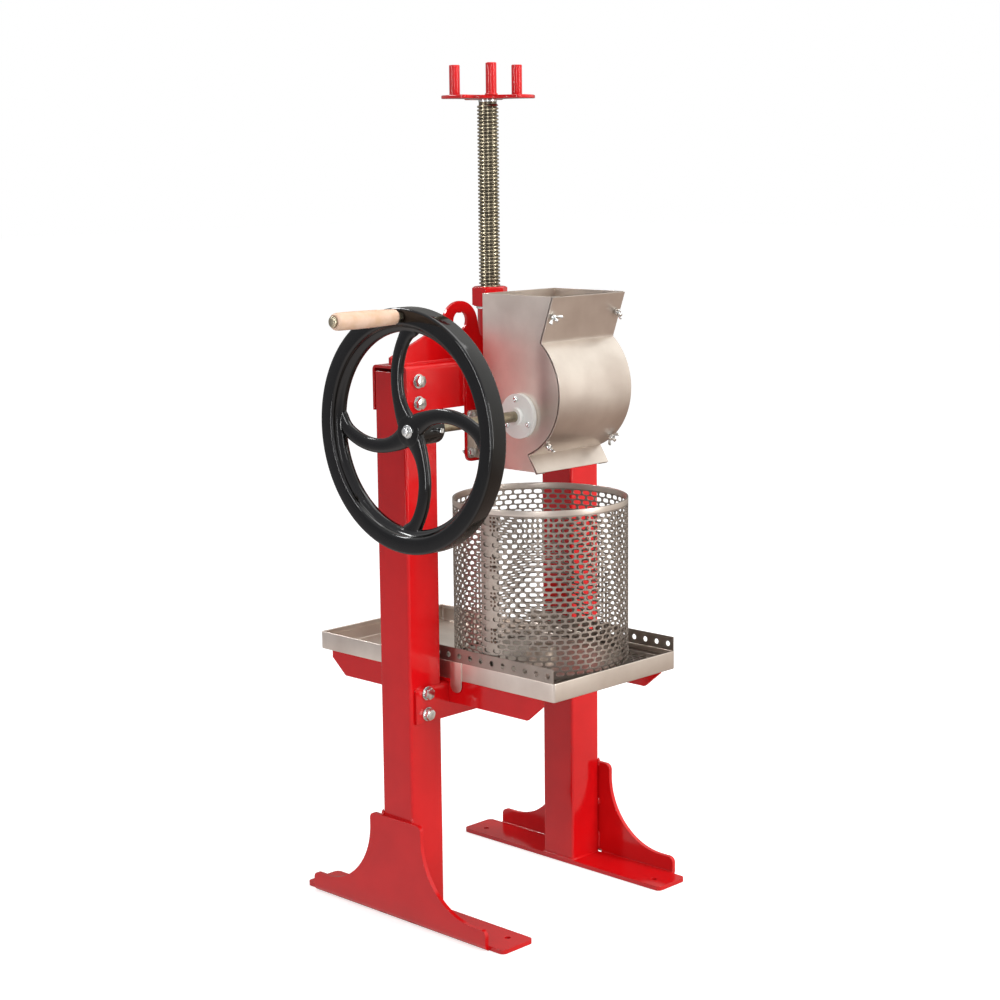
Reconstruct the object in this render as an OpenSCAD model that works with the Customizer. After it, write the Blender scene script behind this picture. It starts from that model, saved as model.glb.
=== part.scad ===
// Cider press with a hand-cranked fruit grinder: square-post frame, top screw, slotted basket.
// Millimetres, +Z up. The origin lies on the floor, at the centre of the four anchor holes.
// -Y is the side with the grinder's cover and -X the side with the flywheel.

/* [Posts] */
// outside width of the square post tubes
post_w = 76.2; // [70:0.1:90]
// wall of the post tubes
post_wall = 4.8; // [3:0.1:8]
// outside corner radius of the post tubes
post_r = 5; // [4:0.5:9]
// distance between the centre lines of the posts
post_pitch = 423.6; // [420:1:520]
// height of the posts' open upper ends above the floor
post_top = 988; // [970:1:992]

/* [Feet] */
// thickness of the bent foot plates
foot_t = 8; // [6:0.5:12]
// length of a foot along Y
foot_len = 514; // [490:1:600]
// how far a foot reaches inward past its post
foot_lip = 3.2; // [0:0.1:20]
// corner radius of the foot's base
foot_corner = 10; // [2:1:20]
// inside radius of the foot's bend
bend_in = 2; // [1:0.5:6]
// length of the upright flange of a foot
flange_len = 448; // [430:1:480]
// height of the upright flange's ends
flange_end_h = 37; // [30:1:50]
// height of the upright flange behind the post
flange_top = 188; // [180:1:260]
// width of the upright flange at its top
flange_top_w = 131; // [110:1:140]
// radius of the scoops at both sides of the flange
scoop_r = 127; // [100:1:135]
// corner radius of the flange's outline
flange_corner = 11; // [4:1:16]
// distance between the anchor holes of one foot
anchor_y = 441; // [420:1:460]
// distance of the anchor holes inside the posts' centre lines
anchor_in = 13.2; // [4:0.1:20]
// diameter of the anchor holes
anchor_d = 11; // [8:0.5:14]
// length of the weld slots in the foot's bend
weld_slot = 16; // [8:1:24]

/* [Beams] */
// thickness of the bent beam plates
beam_t = 4.8; // [3:0.1:8]
// inside radius of the beams' bends
beam_bend = 3.5; // [1:0.5:6]
// height of the top beam's upper face
beam_top = 999; // [998:1:1010]
// height of the top beam's side flanges
beam_h = 79; // [70:1:120]
// height of the middle beam's upper face
mid_top = 430; // [410:1:450]
// height of the middle beam
mid_h = 64; // [56:1:80]
// how far the middle beam's flanges reach past the posts' centre lines
mid_reach = 28.2; // [26:0.1:36]
// hole for the screw in the top beam
beam_hole = 41; // [39.5:0.5:44]

/* [Frame bolts] */
// thread diameter of the frame bolts
bolt_d = 12.7; // [10:0.1:14]
// width across flats of the bolt heads and nuts
bolt_af = 19; // [17:0.5:22]
// height of the bolt heads and nuts
bolt_head = 8; // [6:0.5:11]
// outside diameter of the washers
washer_d = 25; // [23:0.5:30]
// thickness of the washers
washer_t = 2; // [1.5:0.1:3]
// distance of the top bolts outside the posts' centre lines
top_bolt_out = 10.2; // [-10:0.1:14]
// height of the upper row of top bolts
top_bolt_z = 973; // [965:1:978]
// distance of the middle bolts outside the posts' centre lines
mid_bolt_out = 1.2; // [-7:0.1:12]
// height of the upper row of middle bolts
mid_bolt_z = 419; // [410:1:424]
// distance between the two rows of bolts
bolt_rows = 38; // [30:1:42]
// clearance round the bolts in their holes
bolt_gap = 0.5; // [0.3:0.1:1]

/* [Arch plates] */
// thickness of the arch plates
arch_t = 6; // [4:0.5:10]
// distance of an arch plate's outer end from the beam's end
arch_inset = 1.9; // [1:0.1:20]
// height of an arch plate at its outer end
arch_end_h = 14; // [10:1:20]
// how far its slope starts from the outer end
arch_slope_x = 46; // [30:1:60]
// height of the slope's foot
arch_slope_z = 31; // [24:1:36]
// slope of the arch plate in degrees
arch_angle = 21.9; // [15:0.1:24]
// radius of the arch plate's round head
head_r = 44; // [36:1:48]
// distance of the head's centre from the screw
head_x = 78.8; // [74:0.1:90]
// height of the head's centre above the beam
head_z = 58; // [50:1:64]
// radius where the slope runs into the head
head_fillet = 14; // [6:1:20]
// radius of the lifting eye
eye_r = 17; // [10:0.5:20]
// height of the eye's centre above the beam
eye_z = 67; // [60:1:70]
// width of the tab at the eye's top
eye_tab = 6; // [3:0.5:10]
// how far the arch plate's upper nose stands clear of the sleeve
nose_x = 11.5; // [8:0.5:16]
// how far its throat stands clear of the sleeve
throat_x = 7; // [4:0.5:8]
// drop from the nose to the throat
throat_drop = 18; // [10:1:20]
// drop from the nose to where the plate meets the sleeve
weld_drop = 27; // [21:1:40]

/* [Screw] */
// outside diameter of the screw's thread
screw_d = 38.1; // [34:0.1:38.5]
// pitch of the thread
pitch = 6.35; // [5:0.05:8]
// depth of the thread
thread_h = 3.1; // [2:0.1:3.5]
// plain length of the screw at each end of its thread
thread_end = 4; // [2:0.5:10]
// lower end of the thread at rest
screw_low = 850; // [845:1:900]
// upper end of the thread at rest
screw_high = 1448; // [1430:0.5:1500]
// diameter of the turned pin under the thread
pin_d = 19; // [14:0.5:24]
// length of the turned pin
pin_len = 12; // [8:0.5:16]
// running clearance round the pin and the screw
run_gap = 0.06; // [0.03:0.01:0.1]
// diameter of the thrust shoe
shoe_d = 38; // [30:0.5:40]
// height of the thrust shoe
shoe_h = 15; // [14:0.5:20]
// height of the collar under the handle plate
collar_t = 5.5; // [4:0.5:12]
// diameter of the collar
collar_d = 33; // [30:0.5:60]
// diameter of the handle plate over its three lobes
disc_d = 168; // [150:1:200]
// thickness of the handle plate
disc_t = 6.1; // [4:0.1:10]
// half the angle that each lobe takes of the handle plate's rim
lobe_half = 27; // [24:1:45]
// narrowest reach of the handle plate between two lobes
lobe_waist = 40; // [30:1:50]
// diameter of the three pegs
peg_d = 19; // [14:0.5:25]
// distance of the pegs from the screw's axis
peg_r = 64.4; // [50:0.1:70]
// height of the pegs above the disc
peg_h = 54.4; // [40:0.1:80]
// direction of the first peg
peg_turn = -10; // [-60:1:60]

/* [Screw nut] */
// outside diameter of the sleeve under the nut
sleeve_d = 45; // [44:0.5:52]
// bore of the sleeve
sleeve_bore = 39.2; // [39:0.1:41]
// height of the sleeve
sleeve_h = 84.5; // [70:0.5:100]
// outside diameter of the thrust washer
thrust_d = 49; // [46:0.5:56]
// thickness of the thrust washer
thrust_t = 4.4; // [3:0.1:8]
// width across flats of the nut
nut_af = 57.15; // [52:0.05:64]
// height of the nut
nut_h = 35; // [28:0.5:44]

/* [Grinder mount] */
// margin of the mount plate beside the housing's flanges
mount_margin = 1; // [0.5:0.5:16]
// thickness of the mount plate
mount_t = 6; // [4:0.5:10]
// height of the mount plate's lower edge
mount_low = 820; // [800:1:824]
// corner radius of the mount plate
mount_r = 12; // [4:1:20]
// thread diameter of the mount bolts
mbolt_d = 8; // [6:0.5:9]
// width across flats of the mount bolts
mbolt_af = 13; // [12:0.5:14]
// height of the mount bolts' heads and nuts
mbolt_head = 6; // [5:0.5:7]
// distance of the upper mount bolts below the flanges' upper ends
mbolt_edge = 10; // [9:0.5:14]
// distance between the mount bolts
mbolt_rows = 64; // [58:1:66]

/* [Grinder housing] */
// thickness of the stainless sheet
sheet = 1.6; // [1.2:0.1:2.5]
// outside width of the grinder housing
house_w = 186; // [180:1:186]
// distance of the drum's axis in front of the screw
drum_y = 161; // [158:0.5:164]
// height of the drum's axis
drum_z = 910; // [904:1:916]
// radius of the round belly
belly_r = 113.5; // [108:0.5:118]
// distance of the belly's centre behind the drum's axis
belly_back = 21.6; // [18:0.1:24]
// height of the belly's centre above the drum's axis
belly_up = 39.3; // [36:0.1:44]
// direction from the belly's centre to the neck
neck_a = 128.7; // [122:0.1:134]
// direction from the belly's centre to the chute
chute_a = 249.3; // [244:0.1:256]
// length of the hopper's flared front above the neck
flare_len = 84; // [60:1:110]
// lean of the flared front from upright
flare_a = 19.5; // [10:0.5:28]
// height of the hopper's upper edge above the belly's centre
hopper_up = 168.7; // [150:0.1:180]
// depth of the housing's lower edge under the belly's centre
hopper_down = 135.3; // [130:0.1:144]
// distance of the housing's back from the screw
house_back = 73; // [66:1:80]
// width of the flanges under the cover
cover_seat = 22; // [18:1:30]
// clearance between the cover and the housing
cover_gap = 0.3; // [0.2:0.05:0.5]
// width of the side flanges on the mount plate
side_flange = 18; // [15:0.5:18]
// height of the side flanges
side_flange_h = 85; // [84:1:92]
// lower edge of the side flanges
side_flange_z = 827; // [824:1:828]
// length of the cover's lip under the chute
lip_len = 37; // [36:0.5:45]
// lean of the cover's lip from upright
lip_a = 33.4; // [28:0.1:36]

/* [Cover studs] */
// diameter of the cover's studs
stud_d = 6; // [5:0.5:8]
// direction from the belly's centre to the lower studs
stud_a = 229.5; // [226:0.5:233]
// distance of the upper studs above the neck
stud_up = 50; // [30:1:60]
// length of the studs outside the cover
stud_len = 16; // [12:0.5:20]
// direction in which the studs point and the cover comes off
cover_dir = 214; // [211:0.5:216]
// span of a wing nut's two wings
wing_span = 28; // [24:1:32]
// height of a wing nut's hub
knob_h = 8; // [6:0.5:10]
// height of its wings above the hub's foot
wing_h = 14; // [11:0.5:16]
// thickness of its wings
wing_t = 3; // [2:0.5:4]

/* [Bearings and shaft] */
// diameter of the plastic bearing flanges
bearing_d = 78; // [70:1:84]
// thickness of the bearing flanges
bearing_t = 8; // [6:0.5:12]
// diameter of the bearing's boss
boss_d = 30; // [26:1:40]
// length of the bearing's boss
boss_h = 8; // [4:0.5:14]
// radius of the bearing's screw circle
bearing_pcd_r = 29; // [26:0.5:31]
// wall of the bearing's spigot in the side plate
spigot = 2; // [1:0.5:4]
// diameter of the drum shaft
shaft_d = 19.05; // [16:0.05:22]
// right end of the drum shaft
shaft_right = 116; // [112:1:130]
// how far the shaft's left end lies inside the hub's front
shaft_in = 7.8; // [4:0.1:14]
// diameter of the tapped hole in the shaft's left end
tap_d = 8; // [6:0.5:10]
// depth of the tapped hole
tap_depth = 25; // [18:1:32]

/* [Drum] */
// radius of the drum's body
drum_r = 55; // [45:0.5:56]
// length of the drum
drum_len = 170; // [150:1:176]
// height of the drum's teeth
tooth_h = 7; // [4:0.5:8]
// width of a tooth
tooth_w = 5; // [3:0.5:7]
// length of a tooth along the drum
tooth_len = 12; // [8:1:14]
// number of tooth rows round the drum
tooth_rows = 12; // [8:1:16]
// number of teeth in a row
teeth = 6; // [4:1:7]

/* [Flywheel] */
// radius of the flywheel
wheel_r = 203.2; // [190:0.1:210]
// width of the rim
rim_w = 35; // [26:1:42]
// distance between the left post and the flywheel's rim
wheel_gap = 86.9; // [85:0.1:100]
// softened edge of the rim
rim_edge = 1.5; // [0.5:0.1:4]
// draft of the rim's web
web_draft = 2; // [0.5:0.1:3]
// inside radius of the rim
rim_in = 175; // [168:1:180]
// inside radius of the web inside the rim
rim_web = 163; // [155:1:166]
// thickness of the spokes
spoke_t = 14; // [10:0.5:18]
// width of the spokes
spoke_w = 25; // [18:0.5:30]
// depth of the spokes behind the rim's front face
spoke_back = 12; // [8:0.5:16]
// radius of the spokes' curve
spoke_r = 128; // [110:1:150]
// radius of the hub
hub_r = 26; // [22:0.5:32]
// length of the hub
hub_len = 61.8; // [50:0.1:66]
// distance of the set screw behind the hub's middle
set_back = 12; // [4:1:16]
// diameter of the set screw
set_d = 8; // [6:0.5:10]

/* [Crank handle] */
// distance of the crank handle from the shaft
crank_r = 188.6; // [180:0.1:195]
// direction of the crank handle from upright
crank_a = -1.8; // [-10:0.1:10]
// length of the wooden grip
grip_len = 132; // [110:1:150]
// diameter of the grip's inner end
grip_d1 = 25; // [22:0.5:30]
// diameter of the grip's outer end
grip_d2 = 29; // [25:0.5:34]
// diameter of the grip's bolt
grip_bolt = 9.5; // [8:0.5:11]
// thickness of the nut between the rim and the grip
front_nut = 5; // [4:0.5:8]
// thickness of the nut behind the rim
back_nut = 7; // [5:0.5:10]
// width across flats of the crank's nuts
crank_af = 16; // [14:0.5:18]
// end play of the grip at both its ends
grip_play = 1; // [0.5:0.1:2]

/* [Rails] */
// how far the tray reaches past the rails' outer faces
rail_inset = 2; // [0:0.5:12]
// thickness of the rails
rail_t = 6; // [4:0.5:8]
// width of the rails' level leg
rail_leg = 38; // [30:1:50]
// height of the rails
rail_h = 43; // [36:1:52]
// length of the rails
rail_len = 540; // [500:1:560]
// chamfer at the rails' lower ends
rail_cut = 36; // [10:1:45]
// height of the chamfer at a rail's lower ends
rail_rise = 30; // [10:1:34]

/* [Tray] */
// outside width of the tray
tray_w = 323; // [323:0.5:328]
// length of the tray
tray_len = 600; // [560:1:620]
// front end of the tray
tray_front = 300; // [296:1:305]
// height of the tray's wall
tray_h = 33; // [26:0.5:40]
// corner radius of the tray
tray_corner = 4; // [3:0.5:12]
// width of the tabs that stop the tray
tab_w = 28; // [20:1:34]
// distance of the tabs in front of the screw
tab_y = 64; // [62:1:80]
// how far the tabs hang under the tray
tab_drop = 23; // [14:1:30]

/* [Drain plate] */
// length of the drain plate
drain_len = 354; // [340:1:380]
// clearance between the drain plate and the tray's walls
drain_gap = 0.5; // [0.3:0.1:2]
// height of the drain plate's feet
drip_h = 15.8; // [10:0.1:22]
// height of the drain plate's side flanges
drain_flange = 39.3; // [30:0.1:50]
// diameter of the holes in the side flanges
drain_hole = 10; // [6:0.5:14]
// pitch of the holes in the side flanges
drain_pitch = 26.6; // [22:0.1:28]
// how far the row of holes lies in front of the plate's middle
drain_shift = 4.6; // [0:0.1:8]
// number of holes in a side flange
drain_holes = 13; // [9:1:13]
// diameter of the drip holes in the floor
drip_hole = 9; // [5:0.5:12]
// pitch of the drip holes
drip_pitch = 27; // [22:1:34]

/* [Basket] */
// clearance between the basket and the drain plate's side flanges
basket_gap = 0.5; // [0.3:0.1:4]
// height of the basket
basket_h = 298; // [260:0.5:310]
// height of the plain band at the basket's rim
rim_band = 13; // [8:0.5:20]
// number of slot columns round the basket
slot_cols = 24; // [16:2:32]
// number of slot rows
slot_rows = 10; // [8:1:16]
// length of a slot
slot_len = 25; // [10:0.5:26]
// height of a slot
slot_h = 11.5; // [5:0.5:13]
// clearance under pieces that rest on others
seat_gap = 0.3; // [0.1:0.05:0.5]

/* [Press plate] */
// clearance between the press plate and the basket
plate_gap = 7; // [2:0.5:8]
// thickness of the press plate
plate_t = 5; // [3:0.5:8]
// height of the cup that takes the screw's shoe
cup_h = 20; // [12:1:26]
// wall of the cup
cup_wall = 6; // [4:0.5:10]

/* [Display] */
// node to build, or all of them

/* [Hidden] */
$fn = 64;
eps = 0.01;
post_x = post_pitch / 2;
post_out = post_x + post_w / 2;
post_in = post_x - post_w / 2;
foot_out = post_out + foot_t;
bend_out = bend_in + foot_t;
anchor_x = post_x - anchor_in;
arch_end = post_out - arch_inset;
top_bolt_x = post_x + top_bolt_out;
mid_bolt_x = post_x + mid_bolt_out;
mid_half = post_x + mid_reach;
rim_front = post_out + wheel_gap + rim_w;
hub_front = rim_front - spoke_back;
hub_back = hub_front - hub_len;
shaft_left = hub_front - shaft_in;
beam_out = post_w / 2 + beam_t;
nut_low = beam_top + sleeve_h + thrust_t;
disc_low = screw_high + collar_t;
peg_low = disc_low + disc_t;
plate_front = beam_out + mount_t;
house_x = house_w / 2;
mount_w = 2 * (house_x + side_flange + mount_margin);
mbolt_x = house_x + side_flange / 2;
mbolt_z = side_flange_z + side_flange_h - mbolt_edge;
stud_x = house_x - cover_seat / 2;
cover_deep = sheet + cover_gap;
rail_top = mid_top + rail_t;
tray_x = tray_w / 2;
rail_x = tray_x - rail_inset;
tray_floor = rail_top + sheet;
drain_top = tray_floor + drip_h + sheet;
drain_x = tray_x - sheet - drain_gap;
drain_front = tray_front - sheet - 2 * drain_gap;
basket_y = drain_len / 2 - drain_front;
basket_r = drain_x - sheet - basket_gap;
basket_low = drain_top + seat_gap;
cup_in = shoe_d / 2 + 3;
slot_pitch_z = (basket_h - 2 * rim_band) / slot_rows;
belly = [belly_back - drum_y, drum_z + belly_up];
hopper_top = belly[1] + hopper_up;
hopper_low = belly[1] - hopper_down;
function polar(r, a) = [r * cos(a), r * sin(a)];
neck = belly + polar(belly_r, neck_a);
chute = belly + polar(belly_r, chute_a);
flare_dir = [-sin(flare_a), cos(flare_a)];
flare_in = [cos(flare_a), sin(flare_a)];
lip_dir = [-sin(lip_a), -cos(lip_a)];
lip_in = [cos(lip_a), -sin(lip_a)];
stud_spots = [neck + flare_dir * stud_up, belly + polar(belly_r, stud_a)];

red = [0.72, 0.1, 0.1];
zinc = [0.75, 0.76, 0.78];
steel = [0.7, 0.68, 0.65];
black = [0.08, 0.08, 0.08];
white = [0.93, 0.93, 0.92];
maple = [0.9, 0.82, 0.62];

// A square with round corners, centred.
module round_rect(w, h, r) {
  square([w - 2 * r, h], center = true);
  square([w, h - 2 * r], center = true);
  for (x = [-1, 1])
    for (y = [-1, 1])
      translate([x * (w / 2 - r), y * (h / 2 - r)])
        circle(r);
}

// A slot with round ends along X.
module obround(l, h) {
  square([l - h, h], center = true);
  for (x = [-1, 1])
    translate([x * (l - h) / 2, 0])
      circle(d = h);
}

// Lays a drawing of (y, z) in its plane and extrudes it from x0 to x1.
module across(x0, x1) {
  translate([x0, 0, 0])
    rotate([90, 0, 90])
      linear_extrude(x1 - x0)
        children();
}

// Lays a drawing of (x, z) in its plane and extrudes it from y0 to y1.
module along(y0, y1) {
  translate([0, y1, 0])
    rotate([90, 0, 0])
      linear_extrude(y1 - y0)
        children();
}

// A round bar along X from x0 to x1.
module bar_x(r, x0, x1) {
  translate([x0, 0, 0])
    rotate([0, 90, 0])
      cylinder(r = r, h = x1 - x0);
}

// A hexagon with the given width across its flats.
module hexagon(af) {
  circle(r = af / sqrt(3), $fn = 6);
}

// A straight strip of sheet from p to q, lying to its right by t.
module strip(p, q, t) {
  d = (q - p) / norm(q - p);
  n = [d[1], -d[0]] * t;
  polygon([p, q, q + n, p + n]);
}

// A pie of the given radius between two directions.
module pie(r, a0, a1) {
  far = 2 * r;
  mid = (a0 + a1) / 2;
  intersection() {
    circle(r, $fn = 180);
    polygon([[0, 0], polar(far, a0), polar(far, mid), polar(far, a1)]);
  }
}

// Mirrored copies to both sides of the machine's middle.
module both_sides() {
  children();
  mirror([1, 0, 0])
    children();
}

// A square tube standing on its foot, its outer lower edge broken to clear the foot's bend.
module post() {
  difference() {
    translate([post_x, 0, foot_t])
      linear_extrude(post_top - foot_t)
        difference() {
          round_rect(post_w, post_w, post_r);
          round_rect(post_w - 2 * post_wall, post_w - 2 * post_wall, max(post_r - post_wall, 0.5));
        }
    along(-post_w, post_w)
      polygon([[post_out - bend_in, foot_t - eps], [post_out + eps, foot_t - eps],
        [post_out + eps, foot_t + bend_in + eps]]);
  }
}

// Outline of a foot's upright flange in (y, z).
module flange_outline() {
  shoulder = flange_end_h + scoop_r;
  reach = flange_top_w / 2 + scoop_r;
  difference() {
    translate([-reach, 0])
      square([2 * reach, shoulder]);
    for (s = [-1, 1])
      translate([s * reach, shoulder])
        circle(scoop_r, $fn = 128);
  }
  translate([0, (flange_top + bend_out) / 2])
    round_rect(flange_top_w, flange_top - bend_out, flange_corner);
  translate([0, flange_end_h / 2])
    round_rect(flange_len, flange_end_h, flange_corner);
  translate([-flange_len / 2, 0])
    square([flange_len, flange_end_h / 2]);
}

// One bent plate: the base under the post and the upright flange at its outside.
module foot() {
  base_in = post_in - foot_lip;
  base_out = foot_out - bend_out;
  difference() {
    union() {
      translate([(base_in + base_out) / 2, 0, 0])
        linear_extrude(foot_t)
          round_rect(base_out - base_in, foot_len, foot_corner);
      along(-flange_len / 2, flange_len / 2)
        translate([base_out - eps, 0])
          difference() {
            square([bend_out + eps, bend_out]);
            translate([eps, bend_out])
              circle(bend_in);
            difference() {
              square([bend_out + 2 * eps, bend_out]);
              translate([eps, bend_out])
                circle(bend_out);
              square([eps, bend_out]);
            }
          }
      intersection() {
        across(post_out, foot_out)
          flange_outline();
        translate([post_out, -foot_len / 2, bend_out])
          cube([foot_t, foot_len, flange_top]);
      }
    }
    for (s = [-1, 1])
      translate([anchor_x, s * anchor_y / 2, -1])
        cylinder(d = anchor_d, h = foot_t + 2);
    for (s = [-1, 1])
      translate([foot_out - bend_out / 2, s * post_w / 2, bend_out / 2])
        rotate([0, 45, 0])
          cube([bend_out * 2, weld_slot, foot_t * 0.7], center = true);
  }
}

// Channel with its web on top, drawn in (y, z) below z.
module channel(z, h, out) {
  r_out = beam_bend + beam_t;
  difference() {
    union() {
      translate([-out + r_out, z - h])
        square([2 * (out - r_out), h]);
      translate([-out, z - h])
        square([2 * out, h - r_out]);
      for (s = [-1, 1])
        translate([s * (out - r_out), z - r_out])
          circle(r_out);
    }
    translate([-out + beam_t + beam_bend, z - h - 1])
      square([2 * (out - beam_t - beam_bend), h + 1 - beam_t]);
    translate([-out + beam_t, z - h - 1])
      square([2 * (out - beam_t), h + 1 - beam_t - beam_bend]);
    for (s = [-1, 1])
      translate([s * (out - beam_t - beam_bend), z - beam_t - beam_bend])
        circle(beam_bend);
  }
}

// Bolt axes of a beam as [x, z], both sides and both rows.
function bolt_spots(x, z) = [for (s = [-1, 1]) for (k = [0, 1]) [s * x, z - k * bolt_rows]];
frame_spots = concat(bolt_spots(top_bolt_x, top_bolt_z), bolt_spots(mid_bolt_x, mid_bolt_z));
mount_spots = [for (s = [-1, 1]) for (k = [0, 1]) [s * mbolt_x, mbolt_z - k * mbolt_rows]];

// Round holes along Y at every frame bolt.
module bolt_holes() {
  for (p = frame_spots)
    translate([p[0], 0, p[1]])
      rotate([90, 0, 0])
        cylinder(d = bolt_d + 2 * bolt_gap, h = 3 * post_w, center = true);
}

// Round holes along Y at every mount bolt.
module mount_holes() {
  for (p = mount_spots)
    translate([p[0], -plate_front, p[1]])
      rotate([90, 0, 0])
        cylinder(d = mbolt_d + bolt_gap, h = 6 * mount_t, center = true);
}

module left_post() {
  color(red)
    difference() {
      mirror([1, 0, 0])
        post();
      bolt_holes();
    }
}

module right_post() {
  color(red)
    difference() {
      post();
      bolt_holes();
    }
}

module left_foot() {
  color(red)
    mirror([1, 0, 0])
      foot();
}

module right_foot() {
  color(red)
    foot();
}

module top_beam() {
  color(red)
    difference() {
      across(-post_out, post_out)
        channel(beam_top, beam_h, beam_out);
      translate([0, 0, beam_top - 2 * beam_t])
        cylinder(d = beam_hole, h = 3 * beam_t);
      bolt_holes();
    }
}

module middle_beam() {
  color(red)
    difference() {
      across(-mid_half, mid_half)
        channel(mid_top, mid_h, beam_out);
      for (s = [-1, 1])
        translate([s * (post_in + mid_half), 0, mid_top])
          cube([2 * mid_half, post_w, 4 * (beam_t + beam_bend)], center = true);
      bolt_holes();
    }
}

// Outline of an arch plate in (x, z above the beam), for the right side.
module arch_outline() {
  foot_x = arch_end - arch_slope_x;
  run = foot_x - head_x;
  rise = head_z - arch_slope_z;
  hx = run * cos(arch_angle) + rise * sin(arch_angle);
  hz = -run * sin(arch_angle) + rise * cos(arch_angle);
  fx = hx - sqrt(pow(head_r + head_fillet, 2) - pow(hz - head_fillet, 2));
  tip = [foot_x - fx * cos(arch_angle), arch_slope_z + fx * sin(arch_angle)];
  centre = tip + [head_fillet * sin(arch_angle), head_fillet * cos(arch_angle)];
  side = sleeve_d / 2;
  difference() {
    union() {
      polygon([[side, 0], [arch_end, 0], [arch_end, arch_end_h], [foot_x, arch_slope_z], tip, centre,
        [head_x, head_z], [side + nose_x, head_z], [side + throat_x, head_z - throat_drop],
        [side, head_z - weld_drop]]);
      translate([head_x, head_z])
        circle(head_r, $fn = 96);
    }
    translate(centre)
      circle(head_fillet);
    difference() {
      translate([head_x, eye_z])
        circle(eye_r);
      translate([head_x - eye_tab / 2, eye_z + eye_r - eye_tab / 2])
        square([eye_tab, eye_tab]);
    }
  }
}

module arch_plate() {
  translate([0, 0, beam_top])
    along(-arch_t / 2, arch_t / 2)
      arch_outline();
}

module left_arch() {
  color(red)
    difference() {
      mirror([1, 0, 0])
        arch_plate();
      translate([0, 0, beam_top - 1])
        cylinder(d = sleeve_d, h = sleeve_h);
    }
}

module right_arch() {
  color(red)
    difference() {
      arch_plate();
      translate([0, 0, beam_top - 1])
        cylinder(d = sleeve_d, h = sleeve_h);
    }
}

module nut_sleeve() {
  color(red)
    translate([0, 0, beam_top])
      difference() {
        cylinder(d = sleeve_d, h = sleeve_h);
        translate([0, 0, -1])
          cylinder(d = sleeve_bore, h = sleeve_h + 2);
      }
}

module thrust_washer() {
  color(zinc)
    translate([0, 0, beam_top + sleeve_h])
      difference() {
        cylinder(d = thrust_d, h = thrust_t);
        translate([0, 0, -1])
          cylinder(d = sleeve_bore, h = thrust_t + 2);
      }
}

module screw_nut() {
  color(red)
    translate([0, 0, nut_low])
      difference() {
        intersection() {
          linear_extrude(nut_h)
            hexagon(nut_af);
          rotate_extrude()
            polygon([[0, 0], [nut_af / 2, 0], [nut_af / 2 + 5, 2.5],
              [nut_af / 2 + 5, nut_h - 2.5], [nut_af / 2, nut_h], [0, nut_h]]);
        }
        translate([0, 0, -1])
          cylinder(r = screw_d / 2 + run_gap, h = nut_h + 2);
      }
}

module mount_plate() {
  color(red)
    difference() {
      translate([0, 0, (mount_low + beam_top) / 2])
        along(-plate_front, -beam_out)
          round_rect(mount_w, beam_top - mount_low - 2, mount_r);
      mount_holes();
    }
}

// An angle rail with chamfered lower ends; its upright leg stops at the beam.
module rail() {
  difference() {
    union() {
      translate([rail_x - rail_leg, -rail_len / 2, mid_top])
        cube([rail_leg, rail_len, rail_t]);
      across(rail_x - rail_t, rail_x)
        polygon([[-rail_len / 2, rail_top], [-rail_len / 2, rail_top - rail_h + rail_rise],
          [-rail_len / 2 + rail_cut, rail_top - rail_h], [rail_len / 2 - rail_cut, rail_top - rail_h],
          [rail_len / 2, rail_top - rail_h + rail_rise], [rail_len / 2, rail_top]]);
    }
    translate([rail_x - rail_leg - 1, -beam_out, rail_top - rail_h - 1])
      cube([rail_leg + 2, 2 * beam_out, rail_h + 1 - rail_t]);
  }
}

module left_rail() {
  color(red)
    mirror([1, 0, 0])
      rail();
}

module right_rail() {
  color(red)
    rail();
}

module beam_bolts() {
  grip_y = beam_out + washer_t;
  color(zinc)
    for (p = frame_spots)
      translate([p[0], -grip_y, p[1]])
        rotate([90, 0, 0]) {
          linear_extrude(bolt_head)
            hexagon(bolt_af);
          translate([0, 0, -2 * grip_y - bolt_head - 5])
            cylinder(d = bolt_d, h = 2 * grip_y + bolt_head + 5);
        }
}

module beam_washers() {
  color(zinc)
    for (p = frame_spots)
      for (s = [-1, 1])
        translate([p[0], s * (beam_out + washer_t / 2), p[1]])
          rotate([90, 0, 0])
            difference() {
              cylinder(d = washer_d, h = washer_t, center = true);
              cylinder(d = bolt_d + bolt_gap, h = 2 * washer_t, center = true);
            }
}

module beam_nuts() {
  color(zinc)
    for (p = frame_spots)
      translate([p[0], beam_out + washer_t + bolt_head, p[1]])
        rotate([90, 0, 0])
          linear_extrude(bolt_head)
            difference() {
              hexagon(bolt_af);
              circle(r = bolt_d / 2 + run_gap);
            }
}

module mount_bolts() {
  front = plate_front + sheet;
  color(zinc)
    for (p = mount_spots)
      translate([p[0], -front, p[1]])
        rotate([90, 0, 0]) {
          cylinder(d = 1.25 * mbolt_af, h = mbolt_head / 4);
          linear_extrude(mbolt_head)
            hexagon(mbolt_af);
          translate([0, 0, -sheet - mount_t - 2 * mbolt_head])
            cylinder(d = mbolt_d, h = sheet + mount_t + 2 * mbolt_head);
        }
}

module mount_nuts() {
  color(zinc)
    for (p = mount_spots)
      translate([p[0], mbolt_head - beam_out, p[1]])
        rotate([90, 0, 0])
          linear_extrude(mbolt_head)
            difference() {
              hexagon(mbolt_af);
              circle(r = mbolt_d / 2 + run_gap);
            }
}

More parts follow.
